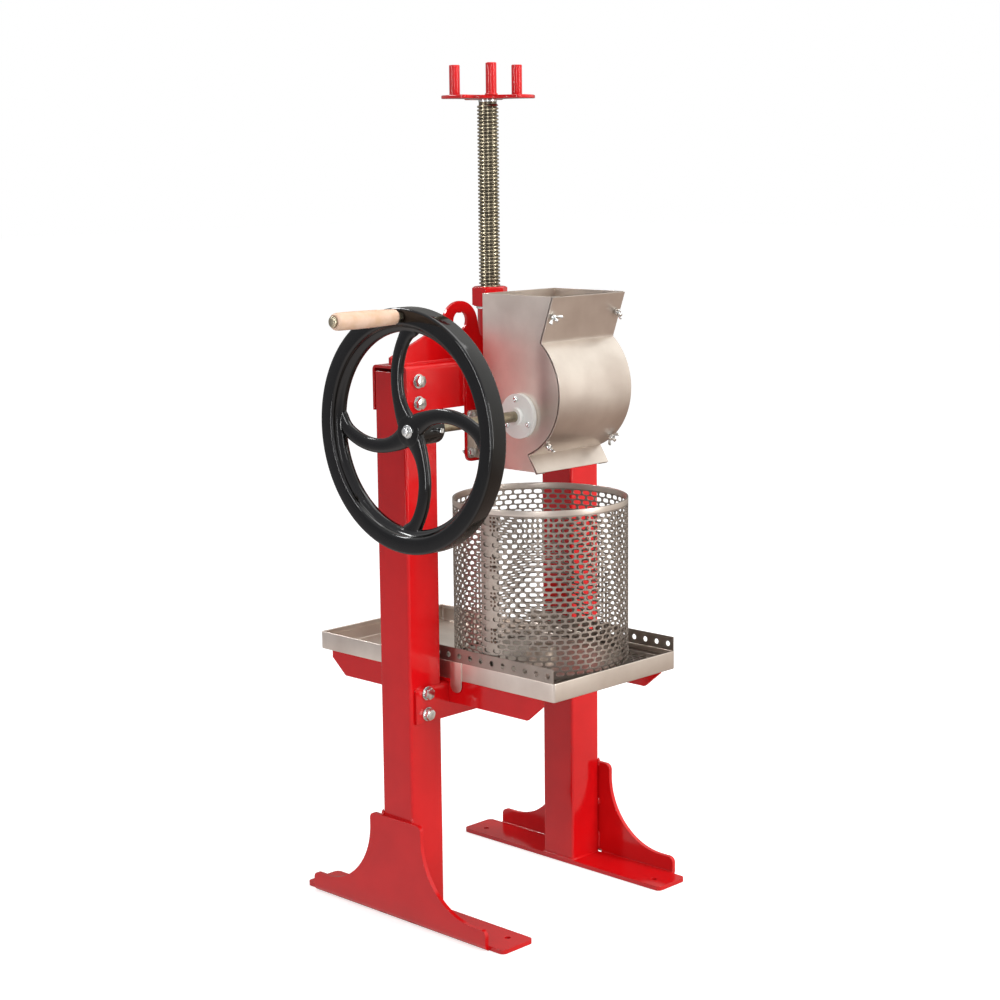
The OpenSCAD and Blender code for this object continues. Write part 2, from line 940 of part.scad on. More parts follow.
// The fold at p in (y, z), d inward of it, from the belly's end at direction a to a flat leaf.
// It bites a little way into both, turn telling to which side of a the belly lies.
module fold(p, a, turn, leaf, leaf_in, d) {
  hair = 0.05;
  bite = 0.6;
  deep = d + sheet;
  bow_in = -polar(1, a);
  polygon(concat(d > 0 ? [p + bow_in * d] : [],
    [p + leaf_in * d, p + leaf * bite + leaf_in * (d + hair),
    p + leaf * bite + leaf_in * (deep - hair), p + leaf_in * deep, p + bow_in * deep,
    belly + polar(belly_r - deep + hair, a + turn), belly + polar(belly_r - d - hair, a + turn)]));
}

// The cover's two flat leaves in (y, z), moved inward by d.
module cover_leaves(d) {
  top = neck + flare_dir * flare_len;
  lip = chute + lip_dir * lip_len;
  strip(neck + flare_in * d, top + flare_in * d, sheet);
  strip(lip + lip_in * d, chute + lip_in * d, sheet);
}

// Its round belly and the folds on both sides of it.
module cover_belly(d) {
  translate(belly)
    difference() {
      pie(belly_r - d, neck_a, chute_a);
      circle(belly_r - d - sheet, $fn = 180);
    }
}

module cover_folds(d) {
  fold(neck, neck_a, 0.3, flare_dir, flare_in, d);
  fold(chute, chute_a, -0.3, lip_dir, lip_in, d);
}

// Outline of a side plate in (y, z), inside the cover.
module side_outline() {
  top = neck + flare_in * cover_deep;
  low = chute + lip_in * cover_deep;
  polygon([belly, belly + polar(belly_r - cover_deep, neck_a), top,
    top + flare_dir * (hopper_top - top[1]) / cos(flare_a), [-house_back, hopper_top],
    [-house_back, belly[1]]]);
  translate(belly)
    pie(belly_r - cover_deep, neck_a, chute_a);
  polygon([belly, belly + polar(belly_r - cover_deep, chute_a), low,
    low + lip_dir * (low[1] - hopper_low) / cos(lip_a), [-house_back, hopper_low],
    [-house_back, belly[1]]]);
  translate([-house_back - 5, side_flange_z])
    square([house_back + 5 - plate_front, side_flange_h]);
}

// Bars along the four studs' axes, from a to b outside the cover.
module stud_bars(r, a, b) {
  for (s = [-1, 1])
    for (p = stud_spots)
      translate([s * stud_x, p[0], p[1]])
        rotate([cover_dir - 90, 0, 0])
          translate([0, 0, a])
            cylinder(r = r, h = b - a);
}

// A side plate with its flange on the mount plate and its seat for the cover.
module side_plate() {
  difference() {
    union() {
      across(house_x - sheet, house_x)
        side_outline();
      across(house_x - cover_seat, house_x) {
        cover_leaves(cover_deep);
        cover_belly(cover_deep);
        cover_folds(cover_deep);
      }
      translate([house_x + side_flange / 2 - sheet, 0, side_flange_z + side_flange_h / 2])
        along(-plate_front - sheet, -plate_front)
          difference() {
            round_rect(side_flange + 2 * sheet, side_flange_h, 6);
            translate([-side_flange, 0])
              square([side_flange, side_flange_h + 2], center = true);
          }
    }
    translate([0, -drum_y, drum_z])
      bar_x(shaft_d / 2 + spigot + run_gap, 0, house_w);
    mount_holes();
    stud_bars(stud_d / 2, -6 * sheet, 4 * sheet);
  }
}

module left_side_plate() {
  color(steel)
    mirror([1, 0, 0])
      side_plate();
}

module right_side_plate() {
  color(steel)
    side_plate();
}

module hopper_back() {
  color(steel)
    translate([sheet - house_x, -house_back - sheet, hopper_low])
      cube([house_w - 2 * sheet, sheet, hopper_top - hopper_low]);
}

module cover_studs() {
  color(zinc)
    stud_bars(stud_d / 2, -3 * sheet, stud_len);
}

module hopper_cover() {
  color(steel)
    difference() {
      union() {
        across(-house_x, house_x)
          cover_leaves(0);
        across(-house_x, house_x)
          cover_belly(0);
        across(-house_x, house_x)
          cover_folds(0);
      }
      stud_bars(stud_d / 2 + 0.5, -6 * sheet, 4 * sheet);
    }
}

// A wing nut on the stud k (0 upper, 1 lower) of side s, turned about the stud.
module knob(s, k, turn) {
  spot = stud_spots[k];
  lift = 1.6;
  hub = stud_d / 2 + 3;
  reach = wing_span / 2;
  color(zinc)
    translate([s * stud_x, spot[0], spot[1]])
      rotate([cover_dir - 90, 0, 0])
        rotate(turn)
          difference() {
            translate([0, 0, lift])
              union() {
                cylinder(r1 = stud_d / 2 + 1.5, r2 = hub, h = 3);
                translate([0, 0, 2.5])
                  cylinder(r1 = hub, r2 = hub - 1, h = knob_h - 2.5);
                rotate([90, 0, 0])
                  linear_extrude(wing_t, center = true)
                    both_sides()
                      polygon([[stud_d / 2, 3], [hub + 1, 3], [reach - 0.5, wing_h - 6],
                        [reach, wing_h - 3], [reach - 1.5, wing_h], [reach - 4, wing_h - 0.5],
                        [hub - 1, knob_h - 0.5], [stud_d / 2, knob_h - 0.5]]);
              }
            translate([0, 0, -1])
              cylinder(r = stud_d / 2 + run_gap, h = knob_h + wing_h);
          }
}

module knob_upper_left() {
  knob(-1, 0, 35);
}

module knob_upper_right() {
  knob(1, 0, -50);
}

module knob_lower_left() {
  knob(-1, 1, -30);
}

module knob_lower_right() {
  knob(1, 1, 70);
}

// Screw spots of a bearing flange as directions round its axis.
bearing_turns = [85, 205, 325];

// A plastic bearing flange with its boss, on the housing's right side.
module bearing() {
  color(white)
    translate([0, -drum_y, drum_z])
      difference() {
        union() {
          bar_x(bearing_d / 2, house_x, house_x + bearing_t);
          bar_x(boss_d / 2, house_x, house_x + bearing_t + boss_h);
          bar_x(shaft_d / 2 + spigot, house_x - sheet, house_x + bearing_t);
        }
        bar_x(shaft_d / 2 + run_gap, 0, house_w);
        for (a = bearing_turns)
          translate([0, bearing_pcd_r * cos(a), bearing_pcd_r * sin(a)])
            bar_x(3, 0, house_w);
      }
}

module left_bearing() {
  mirror([1, 0, 0])
    bearing();
}

module right_bearing() {
  bearing();
}

module bearing_screws() {
  color(zinc)
    both_sides()
      for (a = bearing_turns)
        translate([0, bearing_pcd_r * cos(a) - drum_y, bearing_pcd_r * sin(a) + drum_z]) {
          bar_x(3, house_x, house_x + bearing_t + 1);
          bar_x(5.5, house_x + bearing_t, house_x + bearing_t + 3);
        }
}

module drum_shaft() {
  color(steel)
    translate([0, -drum_y, drum_z])
      difference() {
        bar_x(shaft_d / 2, -shaft_left, shaft_right);
        bar_x(tap_d / 2 + run_gap, -shaft_left - 1, tap_depth - shaft_left);
      }
}

module drum() {
  color(steel)
    translate([0, -drum_y, drum_z])
      difference() {
        union() {
          bar_x(drum_r, -drum_len / 2, drum_len / 2);
          for (i = [0 : tooth_rows - 1])
            rotate([i * 360 / tooth_rows, 0, 0])
              for (j = [0 : teeth - 1])
                translate([(j - (teeth - 1) / 2 + (i % 2 - 0.5) / 2) * drum_len / (teeth + 1), 0, 0])
                  across(-tooth_len / 2, tooth_len / 2)
                    polygon([[-tooth_w, drum_r - 1], [tooth_w / 2, drum_r - 1],
                      [tooth_w / 2, drum_r + tooth_h], [0, drum_r + tooth_h]]);
        }
        bar_x(shaft_d / 2, -drum_len, drum_len);
      }
}

// One curved spoke in the wheel's plane, running along +X and bulging to +Y.
module spoke() {
  mean_r = (rim_in + hub_r) / 2;
  centre = [rim_in / 2 - 4, -sqrt(pow(spoke_r, 2) - pow(rim_in / 2 - 4, 2))];
  intersection() {
    translate(centre)
      difference() {
        circle(spoke_r + spoke_w / 2, $fn = 128);
        circle(spoke_r - spoke_w / 2, $fn = 128);
      }
    circle(rim_in);
    translate([0, -mean_r / 4])
      square([rim_in, mean_r]);
  }
}

module flywheel() {
  color(black)
    translate([0, -drum_y, drum_z])
      rotate([90, 0, -90])
        difference() {
          union() {
            rotate_extrude($fn = 128)
              polygon([[rim_in, rim_front - rim_w], [wheel_r - rim_edge, rim_front - rim_w],
                [wheel_r, rim_front - rim_w + rim_edge], [wheel_r, rim_front - rim_edge],
                [wheel_r - rim_edge, rim_front], [rim_in, rim_front],
                [rim_in - web_draft, hub_front], [rim_web, hub_front - web_draft],
                [rim_web, hub_front - spoke_t + web_draft], [rim_in - web_draft, hub_front - spoke_t]]);
            translate([0, 0, hub_front - spoke_t])
              linear_extrude(spoke_t)
                for (a = [0 : 90 : 270])
                  rotate(a)
                    spoke();
            translate([0, 0, hub_back])
              cylinder(r = hub_r, h = hub_front - hub_back);
          }
          translate([0, 0, hub_back - 1])
            cylinder(r = shaft_d / 2, h = rim_w + wheel_r);
          translate([0, 0, hub_front - hub_len / 2 - set_back])
            rotate([0, 90, 0])
              cylinder(r = set_d / 2 + run_gap, h = 2 * hub_r);
          rotate(-crank_a)
            translate([0, crank_r, rim_front - rim_w - 1])
              cylinder(r = grip_bolt / 2 + run_gap, h = rim_w + 2);
        }
}

module hub_set_screw() {
  color(zinc)
    translate([set_back + hub_len / 2 - hub_front, -drum_y, drum_z])
      rotate([90, 0, 0]) {
        translate([0, 0, shaft_d / 2])
          cylinder(d = set_d, h = hub_r + set_d / 2 - shaft_d / 2);
        translate([0, 0, hub_r + set_d * 0.9])
          cube([set_d, set_d, set_d * 0.9], center = true);
      }
}

module shaft_bolt() {
  color(zinc)
    translate([0, -drum_y, drum_z]) {
      bar_x(tap_d / 2, -hub_front - washer_t, tap_depth - shaft_left - 1);
      bar_x(shaft_d / 2 + 1.5, -hub_front - washer_t, -hub_front);
      rotate([90, 0, -90])
        translate([0, 0, hub_front + washer_t])
          linear_extrude(mbolt_head)
            hexagon(mbolt_af);
    }
}

// Moves its children to the crank handle's axis on the wheel.
module at_crank() {
  translate([0, -drum_y, drum_z])
    rotate([crank_a, 0, 0])
      translate([0, 0, crank_r])
        children();
}

module crank_bolt() {
  out = rim_front + front_nut + grip_play + grip_len;
  color(zinc)
    at_crank() {
      bar_x(grip_bolt / 2, -out - 2 * grip_play, rim_w + back_nut + 2 - rim_front);
      bar_x(grip_bolt, -out - grip_play / 2 - front_nut, -out - grip_play / 2);
    }
}

module crank_nut() {
  color(zinc)
    at_crank()
      for (k = [[-rim_front - front_nut, front_nut], [rim_w - rim_front, back_nut]])
        translate([k[0], 0, 0])
          rotate([90, 0, 90])
            linear_extrude(k[1])
              difference() {
                hexagon(crank_af);
                circle(r = grip_bolt / 2 + run_gap);
              }
}

module grip() {
  inner = rim_front + front_nut + grip_play;
  color(maple)
    at_crank()
      rotate([0, -90, 0])
        translate([0, 0, inner])
          difference() {
            rotate_extrude()
              polygon([[0, 0], [grip_d1 / 2 - 2, 0], [grip_d1 / 2, 2],
                [grip_d1 / 2 + 1, grip_len * 0.2], [grip_d2 / 2 + 0.6, grip_len * 0.6],
                [grip_d2 / 2, grip_len - 5], [grip_d2 / 2 - 3, grip_len], [0, grip_len]]);
            translate([0, 0, -1])
              cylinder(r = grip_bolt / 2 + run_gap, h = grip_len + 2);
          }
}

// The screw's thread as rings, so that the solid stays exact.
module press_screw() {
  root = screw_d / 2 - thread_h;
  turns = floor((screw_high - screw_low - 2 * thread_end) / pitch);
  color(steel) {
    translate([0, 0, screw_low])
      rotate_extrude()
        polygon(concat([[0, 0], [root, 0]],
          [for (i = [0 : turns - 1]) for (q = [[0.14, 0], [0.32, 1], [0.68, 1], [0.86, 0]])
            [root + q[1] * thread_h, (i + q[0]) * pitch + thread_end]],
          [[root, screw_high - screw_low], [0, screw_high - screw_low]]));
    translate([0, 0, screw_low - pin_len + seat_gap])
      cylinder(d = pin_d, h = pin_len);
  }
}

module screw_collar() {
  color(zinc)
    translate([0, 0, screw_high])
      cylinder(d = collar_d, h = collar_t);
}

// The handle plate: a disc with three round bites between the lobes that carry the pegs.
module handle_disc() {
  rim = polar(disc_d / 2, 60 - lobe_half);
  bite_x = (rim * rim - lobe_waist * lobe_waist) / (2 * (rim[0] - lobe_waist));
  color(red)
    translate([0, 0, disc_low])
      difference() {
        rotate_extrude($fn = 128)
          polygon([[0, 0], [disc_d / 2 - 1, 0], [disc_d / 2, 1], [disc_d / 2, disc_t - 1],
            [disc_d / 2 - 1, disc_t], [0, disc_t]]);
        for (a = [60 : 120 : 300])
          rotate(peg_turn + a)
            translate([bite_x, 0, -1])
              cylinder(r = bite_x - lobe_waist, h = disc_t + 2, $fn = 128);
      }
}

module handle_pegs() {
  color(red)
    for (a = [0 : 120 : 240])
      rotate(peg_turn + a)
        translate([peg_r, 0, peg_low])
          rotate_extrude()
            polygon([[0, 0], [peg_d / 2, 0], [peg_d / 2, peg_h - 1.5], [peg_d / 2 - 1.5, peg_h],
              [0, peg_h]]);
}

module thrust_shoe() {
  color(zinc)
    translate([0, 0, screw_low - shoe_h - seat_gap])
      difference() {
        cylinder(d = shoe_d, h = shoe_h);
        translate([0, 0, shoe_h - pin_len])
          cylinder(r = pin_d / 2 + run_gap, h = pin_len + 1);
      }
}

module tray() {
  mid_y = tray_len / 2 - tray_front;
  color(steel)
    difference() {
      union() {
        translate([0, mid_y, rail_top])
          linear_extrude(tray_h)
            round_rect(tray_w, tray_len, tray_corner);
        both_sides()
          across(tray_x - sheet, tray_x + sheet)
            translate([-tab_y, rail_top + (tray_h - tab_drop) / 2])
              union() {
                translate([-tab_w / 2, tab_w / 2 - (tray_h + tab_drop) / 2])
                  square([tab_w, tray_h + tab_drop - tab_w / 2]);
                translate([0, tab_w / 2 - (tray_h + tab_drop) / 2])
                  circle(d = tab_w);
              }
      }
      translate([0, mid_y, tray_floor])
        linear_extrude(tray_h)
          round_rect(tray_w - 2 * sheet, tray_len - 2 * sheet, max(tray_corner - sheet, 0.5));
      translate([0, -tab_y, rail_top - tab_drop])
        cube([tray_w, 2 * tab_w, 2 * tab_drop - 2 * eps], center = true);
    }
}

// A folded plate: side flanges up, feet at its front and back, holes all over.
module drain_plate() {
  drips = floor((drain_len - 40) / drip_pitch / 2);
  side = floor((drain_x - 24) / drip_pitch);
  color(steel)
    difference() {
      union() {
        translate([0, basket_y, drain_top - sheet])
          linear_extrude(sheet)
            square([2 * drain_x, drain_len], center = true);
        both_sides()
          translate([drain_x - sheet, basket_y - drain_len / 2, drain_top - sheet])
            cube([sheet, drain_len, drain_flange + sheet]);
        for (s = [-1, 1])
          translate([-drain_x, basket_y + s * (drain_len - sheet) / 2 - sheet / 2, tray_floor])
            cube([2 * drain_x, sheet, drip_h + sheet / 2]);
      }
      for (i = [-(drain_holes - 1) / 2 : (drain_holes - 1) / 2])
        translate([0, basket_y - drain_shift + i * drain_pitch, drain_top + drain_flange * 0.65])
          bar_x(drain_hole / 2, -tray_w, tray_w);
      for (i = [-side : side])
        for (j = [-drips : drips])
          translate([i * drip_pitch, basket_y + j * drip_pitch, drain_top - 2 * sheet])
            cylinder(d = drip_hole, h = 3 * sheet, $fn = 32);
    }
}

module basket() {
  color(steel)
    translate([0, basket_y, basket_low])
      difference() {
        union() {
          cylinder(r = basket_r, h = basket_h, $fn = 128);
          translate([0, 0, basket_h - rim_band])
            cylinder(r = basket_r + 0.2, h = rim_band, $fn = 128);
        }
        translate([0, 0, -1])
          cylinder(r = basket_r - sheet, h = basket_h + 2, $fn = 128);
        for (j = [0 : slot_rows - 1])
          for (i = [0 : slot_cols - 1])
            rotate((i + (j % 2) / 2) * 360 / slot_cols)
              translate([0, 0, rim_band + (j + 0.5) * slot_pitch_z])
                across(basket_r - 3 * sheet, basket_r + sheet)
                  obround(slot_len, slot_h);
      }
}

module press_plate() {
  color(steel)
    translate([0, basket_y, basket_low])
      cylinder(r = basket_r - sheet - plate_gap, h = plate_t, $fn = 128);
}

module plate_cup() {
  color(steel)
    translate([0, basket_y, basket_low + plate_t])
      difference() {
        cylinder(r = cup_in + cup_wall, h = cup_h);
        translate([0, 0, -1])
          cylinder(r = cup_in, h = cup_h + 2);
      }
}

left_post();
right_post();
left_foot();
right_foot();
top_beam();
middle_beam();
left_arch();
right_arch();
nut_sleeve();
thrust_washer();
screw_nut();
mount_plate();
left_rail();
right_rail();
beam_bolts();
beam_washers();
beam_nuts();
mount_bolts();
mount_nuts();
left_side_plate();
right_side_plate();
hopper_back();
left_bearing();
right_bearing();
bearing_screws();
cover_studs();
hopper_cover();
knob_upper_left();
knob_upper_right();
knob_lower_left();
knob_lower_right();
drum_shaft();
drum();
flywheel();
hub_set_screw();
shaft_bolt();
crank_bolt();
crank_nut();
grip();
press_screw();
screw_collar();
handle_disc();
handle_pegs();
thrust_shoe();
tray();
drain_plate();
basket();
press_plate();
plate_cup();
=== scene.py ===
"""Cider press with a hand-cranked fruit grinder: surfaces, finishes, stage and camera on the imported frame."""

import math

import bpy
import numpy as np
from bpy.props import FloatProperty, FloatVectorProperty, IntProperty, PointerProperty
from mathutils import Matrix, Vector


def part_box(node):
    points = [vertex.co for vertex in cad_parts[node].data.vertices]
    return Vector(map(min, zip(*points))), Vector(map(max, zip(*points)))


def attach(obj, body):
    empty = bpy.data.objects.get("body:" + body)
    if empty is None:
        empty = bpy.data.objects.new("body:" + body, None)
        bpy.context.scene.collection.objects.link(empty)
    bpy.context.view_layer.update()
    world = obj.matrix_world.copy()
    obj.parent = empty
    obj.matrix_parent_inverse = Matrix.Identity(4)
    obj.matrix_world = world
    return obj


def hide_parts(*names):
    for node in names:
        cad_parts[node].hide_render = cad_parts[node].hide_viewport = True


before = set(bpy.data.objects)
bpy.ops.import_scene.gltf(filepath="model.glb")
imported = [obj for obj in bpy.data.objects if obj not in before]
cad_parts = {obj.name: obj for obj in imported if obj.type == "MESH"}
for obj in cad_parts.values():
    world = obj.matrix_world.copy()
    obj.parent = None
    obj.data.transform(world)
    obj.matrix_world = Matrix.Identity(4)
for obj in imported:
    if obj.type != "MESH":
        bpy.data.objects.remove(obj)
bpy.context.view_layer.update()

bl_info = {
    "name": "Cider press",
    "version": (1, 0, 0),
    "blender": (4, 5, 0),
    "location": "View3D > Sidebar > Cider press",
    "description": "Builds the surfaces, finishes and stage of a cider press",
    "category": "Object",
}

MM = 0.001


def box(name):
    """The lowest and highest corner of a CAD node in millimetres."""
    lo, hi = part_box(name)
    return np.array(lo) / MM, np.array(hi) / MM


def centre_of(name):
    """The middle of a CAD node's box in millimetres."""
    return sum(box(name)) / 2


def srgb(code):
    """An sRGB hex value as linear red, green, blue and alpha."""
    c = np.array([int(code[i : i + 2], 16) for i in (0, 2, 4)]) / 255
    return (*np.where(c <= 0.04045, c / 12.92, ((c + 0.055) / 1.055) ** 2.4).tolist(), 1.0)


# Sizes and colours that a user would change


def length(name, text, mm, low=0.0):
    """A length property whose default is given in millimetres."""
    return FloatProperty(name=name, description=text, default=mm * MM, min=low * MM, unit="LENGTH")


def colour(name, text, code):
    """A colour property whose default is an sRGB hex value."""
    return FloatVectorProperty(name=name, description=text, subtype="COLOR", size=4, min=0, max=1,
                               default=srgb(code))


class CiderPressSizes(bpy.types.PropertyGroup):
    """Sizes of the details that the scene adds to the frame."""

    slot_length: length("Slot length", "Length of a slot in the basket", 15.4, 2)
    slot_height: length("Slot height", "Height of a slot in the basket", 7.4, 1)
    slot_columns: IntProperty(name="Slot columns", description="Slots in one row round the basket", default=52,
                              min=8)
    slot_rows: IntProperty(name="Slot rows", description="Rows of slots up the basket", default=30, min=2)
    rim_height: length("Rim height", "Height of the basket's folded rim", 10.5, 2)
    seam_width: length("Seam width", "Width of the strip behind the basket's seam", 39, 5)
    sheet: length("Sheet", "Thickness of the stainless sheet", 1.6, 0.5)
    thread_pitch: length("Thread pitch", "Travel of the press screw in one turn", 6.35, 2)
    thread_depth: length("Thread depth", "Depth of the press screw's thread", 3.1, 0.5)
    spoke_width: length("Spoke width", "Width of a flywheel spoke at its middle", 24, 5)
    spoke_flare: length("Spoke flare", "Widening of a spoke at both its ends", 15, 0)
    weld_size: length("Weld size", "Leg of the fillet welds", 6, 1)


class CiderPressColours(bpy.types.PropertyGroup):
    """Colours of the finishes."""

    red: colour("Red", "Powder coat of the frame", "cf0d12")
    red_deep: colour("Deep red", "Darker patches of the powder coat", "bf080d")
    zinc: colour("Zinc", "Zinc plated fasteners", "e4e5e3")
    stainless: colour("Stainless", "Light tone of the stainless sheet", "cfc5bb")
    stainless_deep: colour("Deep stainless", "Darker tone of the stainless sheet", "bdb1a7")
    # Dim stainless: painted shade on the basket and the strip behind its seam, a darker tone on the drain plate.
    dim_stainless: colour("Dull stainless", "Darkened finish of the drain plate and the basket", "968c83")
    iron: colour("Iron", "Gloss enamel on the cast flywheel", "0a0908")
    thread: colour("Thread", "Oiled steel of the press screw", "a99f88")
    plastic: colour("Plastic", "Bearing flanges", "efeeea")
    maple: colour("Maple", "Crank grip", "d6b6a0")


# Materials


def node(tree, kind, settings=None, values=None, links=None):
    """Adds a shader node with its own settings, its socket values and its incoming links."""
    made = tree.nodes.new("ShaderNode" + kind)
    for key, value in (settings or {}).items():
        setattr(made, key, value)
    for key, value in (values or {}).items():
        made.inputs[key].default_value = value
    for key, source in (links or {}).items():
        tree.links.new(source, made.inputs[key])
    return made


def surface(name, light, deep, grain, cloud, rough, depth, edge=0.8, stretch=(1, 1, 1), root_shade=None, **sockets):
    """A finish with fine grain and wide clouds, their sizes and the bump's depth in millimetres.

    The clouds blend the two colours, the grain drives roughness and relief, and a bevel rounds edges by the edge
    size. Where root_shade gives two radii about the Z axis, painted shade darkens the colour from the outer to the
    inner, down to a quarter.
    """
    mat = bpy.data.materials.new(name)
    mat.use_nodes = True
    tree = mat.node_tree
    tree.nodes.clear()
    where = node(tree, "TexCoord").outputs["Object"]
    pulled = node(tree, "Mapping", values={"Scale": stretch}, links={"Vector": where}).outputs[0]
    fine = node(tree, "TexNoise", values={"Scale": 1 / (grain * MM), "Detail": 1}, links={"Vector": pulled})
    wide = node(tree, "TexNoise", values={"Scale": 1 / (cloud * MM), "Detail": 4}, links={"Vector": where})
    tone = node(tree, "MapRange", values={1: 0.35, 2: 0.65}, links={0: wide.outputs[0]})
    base = node(tree, "Mix", {"data_type": "RGBA"}, {6: deep, 7: light}, {0: tone.outputs[0]})
    if root_shade:
        flat = node(tree, "VectorMath", {"operation": "MULTIPLY"}, {1: (1, 1, 0)}, {0: where})
        radius = node(tree, "VectorMath", {"operation": "LENGTH"}, None, {0: flat.outputs[0]})
        root_shade_share = node(tree, "MapRange", values={1: root_shade[0] * MM, 2: root_shade[1] * MM, 3: 0.25},
                     links={0: radius.outputs["Value"]})
        base = node(tree, "Mix", {"data_type": "RGBA", "blend_type": "MULTIPLY"}, {0: 1.0},
                    {6: base.outputs[2], 7: root_shade_share.outputs[0]})
    gloss = node(tree, "MapRange", values={1: 0.25, 2: 0.75, 3: rough[0], 4: rough[1]},
                 links={0: fine.outputs[0]})
    soft = node(tree, "Bevel", {"samples": 4}, {"Radius": edge * MM})
    relief = node(tree, "Bump", values={"Strength": 1, "Distance": depth * MM},
                  links={"Height": fine.outputs[0], "Normal": soft.outputs[0]})
    shader = node(tree, "BsdfPrincipled", None, sockets,
                  {"Base Color": base.outputs[2], "Roughness": gloss.outputs[0], "Normal": relief.outputs[0]})
    node(tree, "OutputMaterial", links={"Surface": shader.outputs[0]})
    return mat


def shade(tone, share):
    """A linear colour with only that share of its light."""
    return (*(v * share for v in tone[:3]), 1)


def make_finishes():
    """Makes every finish and returns them by name; each starts from what the real surface is."""
    c = bpy.context.scene.cider_press_colours
    made = {}
    # Polyester powder coat baked on steel: satin gloss, faint orange peel about 5 mm across, rounded edges.
    made["red_paint"] = surface("red_powder_coat", c.red, c.red_deep, 5.0, 140, (0.1, 0.15), 0.003, 1.3,
                                **{"Specular IOR Level": 0.4})
    # Zinc electroplate with clear passivation: bright and a little cloudy.
    made["zinc"] = surface("zinc_plated_steel", c.zinc, shade(c.zinc, 0.6), 1.6, 9, (0.14, 0.26), 0.006, 0.5,
                           Metallic=1)
    # Rolled and oiled Acme bar, with painted shade that darkens the thread from its crests at a radius of 19 mm
    # down to its roots.
    dark = shade(c.thread, 0.6)
    made["steel"] = surface("oiled_rolled_steel", c.thread, dark, 1.4, 14, (0.2, 0.34), 0.012, 0.3,
                            root_shade=(15.5, 19.0), Metallic=1)
    # The same bar stock turned smooth for the drum, its shaft and the crank's bolt.
    made["steel_turned"] = surface("turned_steel", c.thread, dark, 0.8, 12, (0.24, 0.38), 0.008, 0.3,
                                   Metallic=1)
    # Cold rolled stainless sheet, satin brushed: streaks about 0.5 mm wide and 60 times as long.
    for axis, word in ((0, "across"), (1, "along"), (2, "upright")):
        pull = [1, 1, 1]
        pull[axis] = 1 / 60
        made["stainless_" + word] = surface("brushed_stainless_" + word, c.stainless, c.stainless_deep, 0.5,
                                            90, (0.3, 0.44), 0.003, 0.5, pull, Metallic=1)
    # A duller, greyer copy of the brushed stainless: painted shade and dark reflection on the basket, painted shade
    # on the strip behind its seam, and a darker tone on the drain plate.
    made["stainless_dim_and_painted_shade"] = surface("painted_shade_and_dim_stainless", c.dim_stainless, shade(c.dim_stainless, 0.8), 1.2, 60, (0.38, 0.5),
                                     0.004, 0.5, Metallic=1)
    # The blue-brown oxide that a spot weld burns into stainless.
    made["heat_tint"] = surface("heat_tinted_stainless", srgb("5c4a3e"), srgb("3a2e28"), 0.8, 5, (0.4, 0.5),
                                0.004, 0.3, Metallic=1)
    # Gloss enamel brushed on grey iron cast in sand: the sand's skin, about 5 mm, shows faintly through it.
    made["black_paint"] = surface("black_enamel_on_cast_iron", c.iron, shade(c.iron, 0.5), 5.0, 30, (0.05, 0.13),
                                  0.02, 1.5, **{"Specular IOR Level": 0.35})
    # Injection moulded bearing plastic: even, with a faint satin grain of about 1.4 mm.
    made["white_plastic"] = surface("white_moulded_plastic", c.plastic, shade(c.plastic, 0.95), 1.4, 25,
                                    (0.36, 0.48), 0.004, 1.0)
    # Maple turned on a lathe and oiled: grain lines 1.6 mm apart run along the grip.
    heart = (c.maple[0] * 0.86, c.maple[1] * 0.78, c.maple[2] * 0.66, 1)
    made["maple"] = surface("oiled_turned_maple", c.maple, heart, 1.6, 22, (0.42, 0.56), 0.01, 0.6,
                            (0.06, 1, 1))
    return made


FINISHES = {}


def finish(name):
    """The finish of that name, made with the others on first use."""
    if not FINISHES:
        FINISHES.update(make_finishes())
    return FINISHES[name]


# Meshes as whole arrays, in millimetres


def grid(n, m, wrap_u=False, wrap_v=False):
    """Quads between neighbours of an n by m grid of points, closed round in u or v where asked."""
    i = np.arange(n if wrap_u else n - 1)
    j = np.arange(m if wrap_v else m - 1)
    i, j = np.meshgrid(i, j, indexing="ij")
    i2, j2 = (i + 1) % n, (j + 1) % m
    return np.stack([i * m + j, i2 * m + j, i2 * m + j2, i * m + j2], -1).reshape(-1, 4)


def outward(part):
    """The part with its faces turned so that the volume they enclose, a sum of tetrahedra, is positive."""
    points, quads = np.asarray(part[0], float).reshape(-1, 3), part[1]
    a, b, c, d = (points[quads[:, k]] for k in range(4))
    volume = (a * np.cross(b, c)).sum() + (a * np.cross(c, d)).sum()
    return points, quads if volume > 0 else quads[:, ::-1]


